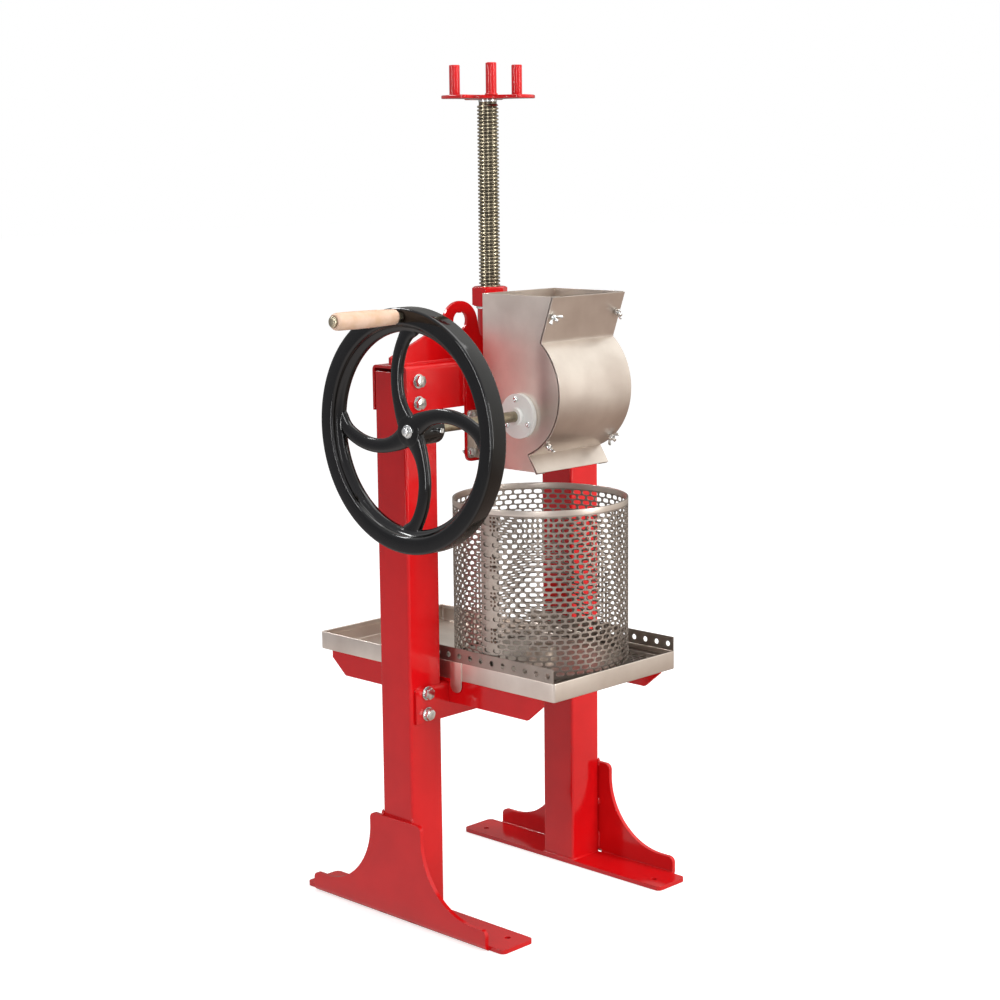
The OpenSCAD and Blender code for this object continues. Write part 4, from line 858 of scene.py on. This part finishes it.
def stud_spots():
    """The upper and lower stud's place in (y, z)."""
    return [BELLY + polar(BELLY_R, NECK_AT) + 50 * leaning(FLARE_LEAN), BELLY + polar(BELLY_R, 229.5)]


class CIDER_PRESS_OT_cover(bpy.types.Operator):
    """Roll the grinder's cover from one strip of stainless sheet, with holes for its studs"""

    bl_idname = "cider_press.cover"
    bl_label = "Grinder cover"

    def execute(self, context):
        sheet = context.scene.cider_press_sizes.sheet / MM
        line, s = cover_line()
        x = box("hopper_cover")[1][0]
        spots = [s[np.argmin(np.linalg.norm(line - p, axis=1))] for p in stud_spots()]
        # Four fields of 3.5 mm on each side of a stud carry the rim of its hole.
        reach = 7
        near = np.linspace(-reach, reach, 5)
        u = np.concatenate([[-x, -x + 2], near - STUD_X, np.linspace(-60, 60, 9), near + STUD_X, [x - 2, x]])
        v = np.concatenate([np.linspace(0, spots[0] - reach, 6)[:-1], spots[0] + near,
                            np.linspace(spots[0] + reach, spots[1] - reach, 60)[1:-1], spots[1] + near,
                            np.linspace(spots[1] + reach, s[-1], 20)[1:]])
        cells = [(i, int(np.argmin(np.abs(v - (spot - reach))))) for i in (2, 16) for spot in spots]
        flat, quads = punched(u, v, cells, 0, 3.6)
        y = np.interp(flat[:, 1], s, line[:, 0])
        z = np.interp(flat[:, 1], s, line[:, 1])
        part = used((np.column_stack([flat[:, 0], y, z]), quads))
        make_piece("cover_sheet", [part], "stainless_across", "cover", ["hopper_cover"], solid=sheet)
        return {"FINISHED"}


def wing_nut():
    """A wing nut along +Z: a turned hub with two wings, rounded plates that flare away from the hub's foot."""
    hub = rounded([(3.06, 1.62), (4.4, 1.62), (5.9, 4.5), (5.4, 9.5), (3.06, 9.5)], 0.6, 3)
    parts = [turned(hub, 48, ring=True)]
    wing = [(3.4, 4.8), (7.0, 4.7), (13.3, 9.6), (13.9, 12.6), (12.4, 15.4), (10.2, 15.0), (5.6, 9.0),
            (3.4, 8.9)]
    thick = 2.8
    points, quads = plate(rounded(wing, 1.4, 4), thick, 0.9, (7.8, 8.2))
    flat = points.reshape(-1, 3)
    for s in (-1, 1):
        parts.append((np.column_stack([s * flat[:, 0], s * (flat[:, 2] - thick / 2), flat[:, 1]]), quads))
    return parts


class CIDER_PRESS_OT_knobs(bpy.types.Operator):
    """Put the four wing nuts on the cover's studs"""

    bl_idname = "cider_press.knobs"
    bl_label = "Wing nuts"

    def execute(self, context):
        # The way out of the cover is +Z turned about the X axis; each nut is then turned about its stud.
        c = STUD_WAY
        stand = np.array([(1, 0, 0), (0, math.sin(c), math.cos(c)), (0, -math.cos(c), math.sin(c))])
        nuts = ((0, -1, "upper_left", "knob_ul", 35), (0, 1, "upper_right", "knob_ur", -50),
                (1, -1, "lower_left", "knob_ll", -30), (1, 1, "lower_right", "knob_lr", 70))
        for k, s, place, body, degrees in nuts:
            m = stand @ np.array(Matrix.Rotation(math.radians(degrees), 3, "Z"), float)
            at = np.array([s * STUD_X, *stud_spots()[k]])
            parts = [(p.reshape(-1, 3) @ m.T + at, q) for p, q in wing_nut()]
            make_piece(place + "_wing_nut", parts, "zinc", body, ["knob_" + place], smooth=50)
        return {"FINISHED"}


# Basket, drain plate and tray

# The rise from one row of slots to the next
SLOT_RISE = 9.4


def slot_form(sizes):
    """Half the length of a slot's straight part, and the radius of its ends."""
    return (sizes.slot_length - sizes.slot_height) / 2 / MM, sizes.slot_height / 2 / MM


class CIDER_PRESS_OT_basket(bpy.types.Operator):
    """Roll the slotted basket, fold its rim and weld the strip behind its seam"""

    bl_idname = "cider_press.basket"
    bl_label = "Basket"

    def execute(self, context):
        sizes = context.scene.cider_press_sizes
        lo, hi = box("basket")
        centre = (lo + hi) / 2
        radius = (hi[0] - lo[0]) / 2 - 0.2
        height = hi[2] - lo[2]
        columns, rows = sizes.slot_columns, sizes.slot_rows
        rim = sizes.rim_height / MM
        # Where the sheet's ends meet, where the strip's middle lies, and where its spots of weld are
        joint, seam, welded = (math.radians(v) for v in (-170, -172, -169))
        u = np.linspace(0, 2 * np.pi * radius, columns * 4 + 1)
        top = height - rim - 1.1
        bottom = top - rows * SLOT_RISE
        v = np.concatenate([np.linspace(0, bottom, 3)[:-1], bottom + np.arange(rows * 4 + 1) * SLOT_RISE / 4,
                            [height]])
        i, j = np.meshgrid(np.arange(columns), np.arange(rows), indexing="ij")
        # Odd rows start half a column further on, and the last of their slots runs on over the joint.
        first = (i * 4 + (j % 2) * 2).ravel()
        cells = np.column_stack([first, 2 + 4 * j.ravel()])
        cells = cells[first + 4 <= columns * 4]
        flat, quads = punched(u, v, cells, *slot_form(sizes))
        turn = flat[:, 0] / radius + joint
        points = [centre[0] + radius * np.cos(turn), centre[1] + radius * np.sin(turn), lo[2] + flat[:, 1]]
        shell = used((np.column_stack(points), quads))
        # The shell's dim stainless is painted shade and dark reflection.
        make_piece("basket_shell", [shell], "stainless_dim_and_painted_shade", "basket", ["basket"], 40, sizes.sheet / MM)
        inside, outside = radius - 3.0, radius + 0.18
        under = height - rim
        hem = rounded([(inside, under), (outside, under), (outside, height), (inside, height)], 1.2, 4)
        hem = placed(turned(hem, 160, ring=True), (0, 0, 1), (centre[0], centre[1], lo[2]))
        make_piece("basket_rim", [hem], "stainless_across", "basket")
        # The seam: a plain strip behind the slots, welded on in four groups of spots.
        wide = sizes.seam_width / MM / radius
        a = seam + np.linspace(-wide / 2, wide / 2, 12)
        line = np.column_stack([centre[0] + radius * np.cos(a), centre[1] + radius * np.sin(a), 0 * a + lo[2]])
        strip = np.array([(-3.2, 0.3), (-2.4, 0.3), (-2.4, under), (-3.2, under)]) * [1, -1]
        backing = carried(strip, line, np.column_stack([np.cos(a), np.sin(a), 0 * a]))
        # The strip's dim stainless is painted shade, standing for the dark seen through the slots.
        make_piece("basket_seam_strip", [backing], "stainless_dim_and_painted_shade", "basket")
        spot = turned([(0, -0.2), (2.4, -0.2), (2.1, 0.1), (1.2, 0.18), (0, 0.1)], 20)
        spots = []
        for group in (15, 86, 148, 213):
            for column in (-3.6, 3.6):
                for up in (-11, -4, 4, 11):
                    b = welded + column / radius
                    x, y = centre[0] + radius * math.cos(b), centre[1] + radius * math.sin(b)
                    spots.append(placed(spot, (math.cos(b), math.sin(b), 0), (x, y, lo[2] + top - group + up)))
        make_piece("basket_spot_welds", spots, "heat_tint", "basket", smooth=60)
        return {"FINISHED"}


class CIDER_PRESS_OT_drain_plate(bpy.types.Operator):
    """Fold the drain plate from one perforated sheet with upturned sides and down-turned feet"""

    bl_idname = "cider_press.drain_plate"
    bl_label = "Drain plate"

    def execute(self, context):
        sizes = context.scene.cider_press_sizes
        sheet = sizes.sheet / MM
        lo, hi = box("drain_plate")
        floor = box("basket")[0][2] - 0.3 - sheet
        bend = 3.0
        side = bend - polar(bend, np.linspace(0, 90, 7))
        left = np.concatenate([[[lo[0], hi[2]]], side + [lo[0], floor]])
        line = np.concatenate([left, left[::-1] * [-1, 1]])
        s = lengths(line)
        # Lines across the sheet, from edge to edge: the rows of round holes, the bends, and fields for the slots.
        wall = hi[2] - floor - bend
        hole_row, hole_r, pitch = 13.8, 5.0, 26.6
        field = 18.0
        count = int((s[-1] - 2 * (wall + 12)) / field)
        near = np.linspace(-8, 8, 5)
        inner = np.linspace(wall + 12, s[-1] - wall - 12, count * 4 + 1)
        u = np.concatenate([[0], hole_row + near, np.linspace(wall - 1, wall + 11, 9), inner,
                            s[-1] - np.linspace(wall + 11, wall - 1, 9), s[-1] - hole_row + near, [s[-1]]])
        # Lines along a wall: thirteen holes about a middle that lies 4.6 mm nearer the front.
        span = hi[1] - lo[1]
        middle = span / 2 - 4.6
        n = 13
        v = np.concatenate([[0], middle + np.arange(2 - n * 4, n * 4 - 1) * pitch / 8, [span]])
        holes = [(1, 1 + 8 * k) for k in range(n)]
        # The floor has lines of its own, for slots in staggered rows.
        rows = int((span - 24) / SLOT_RISE)
        v_floor = np.concatenate([[0], span / 2 + (np.arange(rows * 4 + 1) - rows * 2) * SLOT_RISE / 4, [span]])
        slots = [(5 + 4 * i + 2 * (j % 2), 1 + 4 * j) for j in range(rows) for i in range(count - j % 2)]
        sheets = [punched(u[:11], v, holes, 0, hole_r),
                  punched(u[10:-10], v_floor, slots, *slot_form(sizes)),
                  punched(u[-11:], v, [(5, j) for _, j in holes], 0, hole_r)]
        flat = np.concatenate([part[0] for part in sheets])
        starts = np.cumsum([0] + [len(part[0]) for part in sheets[:-1]])
        quads = np.concatenate([part[1] + at for part, at in zip(sheets, starts)])
        x = np.interp(flat[:, 0], s, line[:, 0])
        z = np.interp(flat[:, 0], s, line[:, 1])
        part = used((np.column_stack([x, lo[1] + flat[:, 1], z]), quads))
        make_piece("drain_tray_sheet", [part], "stainless_dim_and_painted_shade", "drain", ["drain_plate"], solid=sheet)
        # The sheet's ends, folded down to the tray's floor.
        feet = []
        for y, way in ((lo[1], 1), (hi[1], -1)):
            foot = rounded([(0, lo[2]), (0, floor), (sheet, floor), (sheet, lo[2])], 0.5, 2)
            path = np.column_stack([np.linspace(lo[0] + bend, hi[0] - bend, 6), np.full(6, y), np.zeros(6)])
            points = path[:, None] + np.stack([0 * foot[:, 0], way * foot[:, 0], foot[:, 1]], -1)[None]
            ends = np.stack([points[0].mean(0) + 0 * points[0], points[-1].mean(0) + 0 * points[-1]])
            points = np.concatenate([ends[:1], points, ends[1:]])
            feet.append((points, grid(len(points), len(foot), wrap_v=True)))
        make_piece("drain_tray_feet", feet, "stainless_dim_and_painted_shade", "drain")
        return {"FINISHED"}


class CIDER_PRESS_OT_tray(bpy.types.Operator):
    """Fold the juice tray with a hemmed edge and the two tabs that stop it at the beam"""

    bl_idname = "cider_press.tray"
    bl_label = "Tray"

    def execute(self, context):
        sheet = context.scene.cider_press_sizes.sheet / MM
        lo, hi = box("tray")
        x = hi[0] - sheet
        low = box("left_rail")[1][2]
        h = hi[2] - low
        # The line round the tray, with corners of 5 mm; the wall's section is carried along it.
        r = 5.0
        corner = polar(r, np.linspace(0, 90, 9))
        path, normals = [], []
        for k, (sx, sy) in enumerate(((1, 1), (-1, 1), (-1, -1), (1, -1))):
            c = corner * [sx, sy]
            c = c if k % 2 == 0 else c[::-1]
            middle = np.array([sx * (x - r), (hi[1] - r) if sy > 0 else (lo[1] + r)])
            path.append(middle + c)
            normals.append(c / r)
        path, normals = np.concatenate(path), np.concatenate(normals)
        hem = 2 * sheet
        section = rounded([(-7, 0), (0, 0), (0, h), (-hem, h), (-hem, h - 9), (-sheet, h - 9.4), (-sheet, sheet),
                           (-7, sheet)], 1.5, 4)
        points = path[:, None] + section[None, :, :1] * normals[:, None]
        points = np.concatenate([points, low + section[None, :, 1:] + 0 * points[..., :1]], -1)
        parts = [(points, grid(len(path), len(section), wrap_u=True, wrap_v=True))]
        side, front, back = x - 6, lo[1] + 6, hi[1] - 6
        panel = rounded([(-side, front), (side, front), (side, back), (-side, back)], 2, 2)
        levels = [(0, low + 0.1), (1, low + 0.1), (1, low + sheet - 0.1), (0, low + sheet - 0.1)]
        parts.append(stacked(panel, levels))
        make_piece("tray_pan", parts, "stainless_along", "tray", ["tray"], smooth=40)
        # The tabs: round below, 28 mm wide, their upper ends behind the tray's sides.
        tabs = []
        half = 14
        tab = np.concatenate([[-64, lo[2] + half] + polar(half, np.linspace(180, 360, 25)),
                              [(-64 + half, hi[2]), (-64 - half, hi[2])]])
        face, out = x + 0.02, x + sheet - 0.02
        levels = [(0, face), (1, face), (1, x + sheet - 0.5), (0.975, out), (0, out)]
        for s in (-1, 1):
            points, quads = stacked(tab, [(k, s * w) for k, w in levels])
            tabs.append((points[..., [2, 0, 1]], quads))
        make_piece("tray_tabs", tabs, "stainless_upright", "tray")
        return {"FINISHED"}


# Stage and camera


def new_tree(owner):
    """An empty node tree for a material or a world."""
    owner.use_nodes = True
    owner.node_tree.nodes.clear()
    return owner.node_tree


def seen_ray(tree, rays):
    """1 for a ray of the camera, also one through a clear surface, and 0 for all others."""
    return node(tree, "Math", {"operation": "MAXIMUM"}, None,
                {0: rays.outputs["Is Camera Ray"], 1: rays.outputs["Is Transmission Ray"]})


def make_floor(scene):
    """A wide matt white board, 1 mm under the feet."""
    size, z = 30.0, -0.001
    mesh = bpy.data.meshes.new("studio_floor")
    corners = [(size * x, size * y, z) for x, y in ((-1, -1), (1, -1), (1, 1), (-1, 1))]
    mesh.from_pydata(corners, [], [(0, 1, 2, 3)])
    floor = bpy.data.objects.new("studio_floor", mesh)
    scene.collection.objects.link(floor)
    # Painted studio board: matt white; what the camera sees of it is lifted so that only shadows stay grey.
    mat = bpy.data.materials.new("matt_white_studio_board")
    tree = new_tree(mat)
    seen = seen_ray(tree, node(tree, "LightPath"))
    lift = node(tree, "Math", {"operation": "MULTIPLY"}, {1: 0.62}, {0: seen.outputs[0]})
    board = node(tree, "BsdfDiffuse", values={"Color": srgb("dcdcdc")})
    glow = node(tree, "Emission", links={"Strength": lift.outputs[0]})
    both = node(tree, "AddShader", links={0: board.outputs[0], 1: glow.outputs[0]})
    node(tree, "OutputMaterial", links={"Surface": both.outputs[0]})
    mesh.materials.append(mat)
    floor.visible_glossy = False


def make_world(scene):
    """A world that is white to the camera, an even grey to matt surfaces and a studio to glossy ones."""
    scene.world = bpy.data.worlds.new("studio")
    tree = new_tree(scene.world)
    rays = node(tree, "LightPath")
    even = node(tree, "Background", values={"Color": (1, 1, 1, 1), "Strength": 0.55})
    white = node(tree, "Background", values={"Color": (1, 1, 1, 1), "Strength": 1.0})
    # The studio: a warm dim floor at the right, a white one at the left, a bright ceiling, and a dark cloth
    # behind the press, which darkens the edges of what is round.
    where = node(tree, "TexCoord")
    way = node(tree, "SeparateXYZ", links={0: where.outputs["Generated"]})
    low = node(tree, "MapRange", values={1: -0.5, 2: -0.15}, links={0: way.outputs[2]})
    high = node(tree, "MapRange", values={1: -0.12, 2: 0.5}, links={0: way.outputs[2]})
    left_tones = ((1.3, 1.22, 1.2, 1), (0.45, 0.45, 0.48, 1), (0.95, 0.95, 1.0, 1))
    right_tones = ((0.52, 0.4, 0.34, 1), (0.92, 0.86, 0.8, 1), (1.5, 1.5, 1.46, 1))
    sides = []
    for floor_tone, level_tone, ceiling_tone in (left_tones, right_tones):
        hue = node(tree, "Mix", {"data_type": "RGBA"}, {6: floor_tone, 7: level_tone}, {0: low.outputs[0]})
        hue = node(tree, "Mix", {"data_type": "RGBA"}, {7: ceiling_tone},
                   {0: high.outputs[0], 6: hue.outputs[2]})
        sides.append(hue.outputs[2])
    right = node(tree, "MapRange", values={1: -0.5, 2: 0.3}, links={0: way.outputs[0]})
    hue = node(tree, "Mix", {"data_type": "RGBA"}, None, {0: right.outputs[0], 6: sides[0], 7: sides[1]})
    behind = node(tree, "VectorMath", {"operation": "DOT_PRODUCT"}, {1: (0.69, 0.72, 0)},
                  {0: where.outputs["Generated"]})
    cloth = node(tree, "MapRange", values={1: 0.5, 2: 0.95, 3: 1.0, 4: 0.25},
                 links={0: behind.outputs["Value"]})
    hue = node(tree, "Mix", {"data_type": "RGBA", "blend_type": "MULTIPLY"}, {0: 1.0},
               {6: hue.outputs[2], 7: cloth.outputs[0]})
    studio = node(tree, "Background", links={"Color": hue.outputs[2]})
    seen = seen_ray(tree, rays)
    gloss = node(tree, "MixShader",
                 links={0: rays.outputs["Is Glossy Ray"], 1: even.outputs[0], 2: studio.outputs[0]})
    mixed = node(tree, "MixShader", links={0: seen.outputs[0], 1: gloss.outputs[0], 2: white.outputs[0]})
    node(tree, "OutputWorld", links={"Surface": mixed.outputs[0]})


# Each lamp's name, place, aim, two sides in metres and watts, and whether glossy and matt surfaces are lit by it:
# softboxes light the press, and narrow strips show in its gloss alone, as bright lines on what is round.
LAMPS = (
    ("key_softbox", (1.1, -4.0, 2.7), (0, 0, 0.7), (2.2, 2.2), 150, False, True),
    ("top_softbox", (0.3, -0.4, 3.8), (0, 0, 0.8), (2.4, 2.4), 60, True, True),
    ("left_fill", (-3.4, -1.2, 1.8), (0, 0, 0.7), (2.0, 2.0), 26, False, True),
    ("right_strip", (1.3, -3.8, 1.3), (0, 0, 1.0), (0.3, 2.4), 50, True, False),
    ("near_strip", (-2.95, -2.75, 1.3), (0, 0, 1.0), (0.3, 2.4), 30, True, False),
    ("left_strip", (-3.9, 1.0, 1.3), (0, 0, 1.0), (0.3, 2.4), 60, True, False),
    ("rear_strip", (-0.8, 2.8, 3.6), (0, 0, 1.0), (2.6, 0.3), 90, True, False),
)


def make_lamps(scene):
    """The softboxes and the strips, each turned to its aim."""
    for name, at, aim, sides, watts, in_gloss, on_matt in LAMPS:
        data = bpy.data.lights.new(name, "AREA")
        data.shape = "RECTANGLE"
        data.size, data.size_y = sides
        data.energy = watts
        lamp = bpy.data.objects.new(name, data)
        lamp.location = at
        lamp.rotation_euler = (Vector(aim) - Vector(at)).to_track_quat("-Z", "Y").to_euler()
        lamp.visible_glossy = in_gloss
        lamp.visible_diffuse = on_matt
        scene.collection.objects.link(lamp)


def make_camera(scene):
    """The camera, solved from the photograph's edges: its heading, its fall and its roll, its lens and place."""
    heading, down, roll = (math.radians(v) for v in (-45.87, 9.52, -0.597))
    back = Vector((math.sin(heading) * math.cos(down), -math.cos(heading) * math.cos(down), math.sin(down)))
    level = Vector((math.cos(heading), math.sin(heading), 0))
    above = level.cross(-back)
    right = math.cos(roll) * level + math.sin(roll) * above
    up = -math.sin(roll) * level + math.cos(roll) * above
    data = bpy.data.cameras.new("photo_camera")
    data.lens = 73.38
    data.sensor_width = 36
    data.clip_end = 60
    cam = bpy.data.objects.new("photo_camera", data)
    turn = Matrix((right, up, back)).transposed()
    cam.matrix_world = Matrix.Translation((-2.6301, -2.5716, 1.3497)) @ turn.to_4x4()
    scene.collection.objects.link(cam)
    scene.camera = cam


class CIDER_PRESS_OT_stage(bpy.types.Operator):
    """Set the floor, the soft studio light and the camera"""

    bl_idname = "cider_press.stage"
    bl_label = "Stage"

    def execute(self, context):
        context.scene.view_settings.view_transform = "Standard"
        for make in (make_floor, make_world, make_lamps, make_camera):
            make(context.scene)
        return {"FINISHED"}


OPERATORS = (
    CIDER_PRESS_OT_frame_finish,
    CIDER_PRESS_OT_welds,
    CIDER_PRESS_OT_frame_bolts,
    CIDER_PRESS_OT_mount_bolts,
    CIDER_PRESS_OT_screw,
    CIDER_PRESS_OT_nut,
    CIDER_PRESS_OT_flywheel,
    CIDER_PRESS_OT_crank,
    CIDER_PRESS_OT_cover,
    CIDER_PRESS_OT_knobs,
    CIDER_PRESS_OT_basket,
    CIDER_PRESS_OT_drain_plate,
    CIDER_PRESS_OT_tray,
    CIDER_PRESS_OT_stage,
)


class VIEW3D_PT_cider_press(bpy.types.Panel):
    """Lists the pieces of the cider press and their sizes and colours"""

    bl_label = "Cider press"
    bl_space_type = "VIEW_3D"
    bl_region_type = "UI"
    bl_category = "Cider press"

    def draw(self, context):
        for group in (context.scene.cider_press_sizes, context.scene.cider_press_colours):
            column = self.layout.column()
            for key in group.__annotations__:
                column.prop(group, key)
        for operator in OPERATORS:
            self.layout.operator(operator.bl_idname)


CLASSES = (CiderPressSizes, CiderPressColours, *OPERATORS, VIEW3D_PT_cider_press)


def register():
    for cls in CLASSES:
        bpy.utils.register_class(cls)
    bpy.types.Scene.cider_press_sizes = PointerProperty(type=CiderPressSizes)
    bpy.types.Scene.cider_press_colours = PointerProperty(type=CiderPressColours)


def unregister():
    del bpy.types.Scene.cider_press_colours
    del bpy.types.Scene.cider_press_sizes
    for cls in reversed(CLASSES):
        bpy.utils.unregister_class(cls)


def main():
    """Registers the add-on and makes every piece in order."""
    register()
    for operator in OPERATORS:
        getattr(bpy.ops.cider_press, operator.bl_idname.split(".")[1])()


if __name__ == "__main__":
    main()
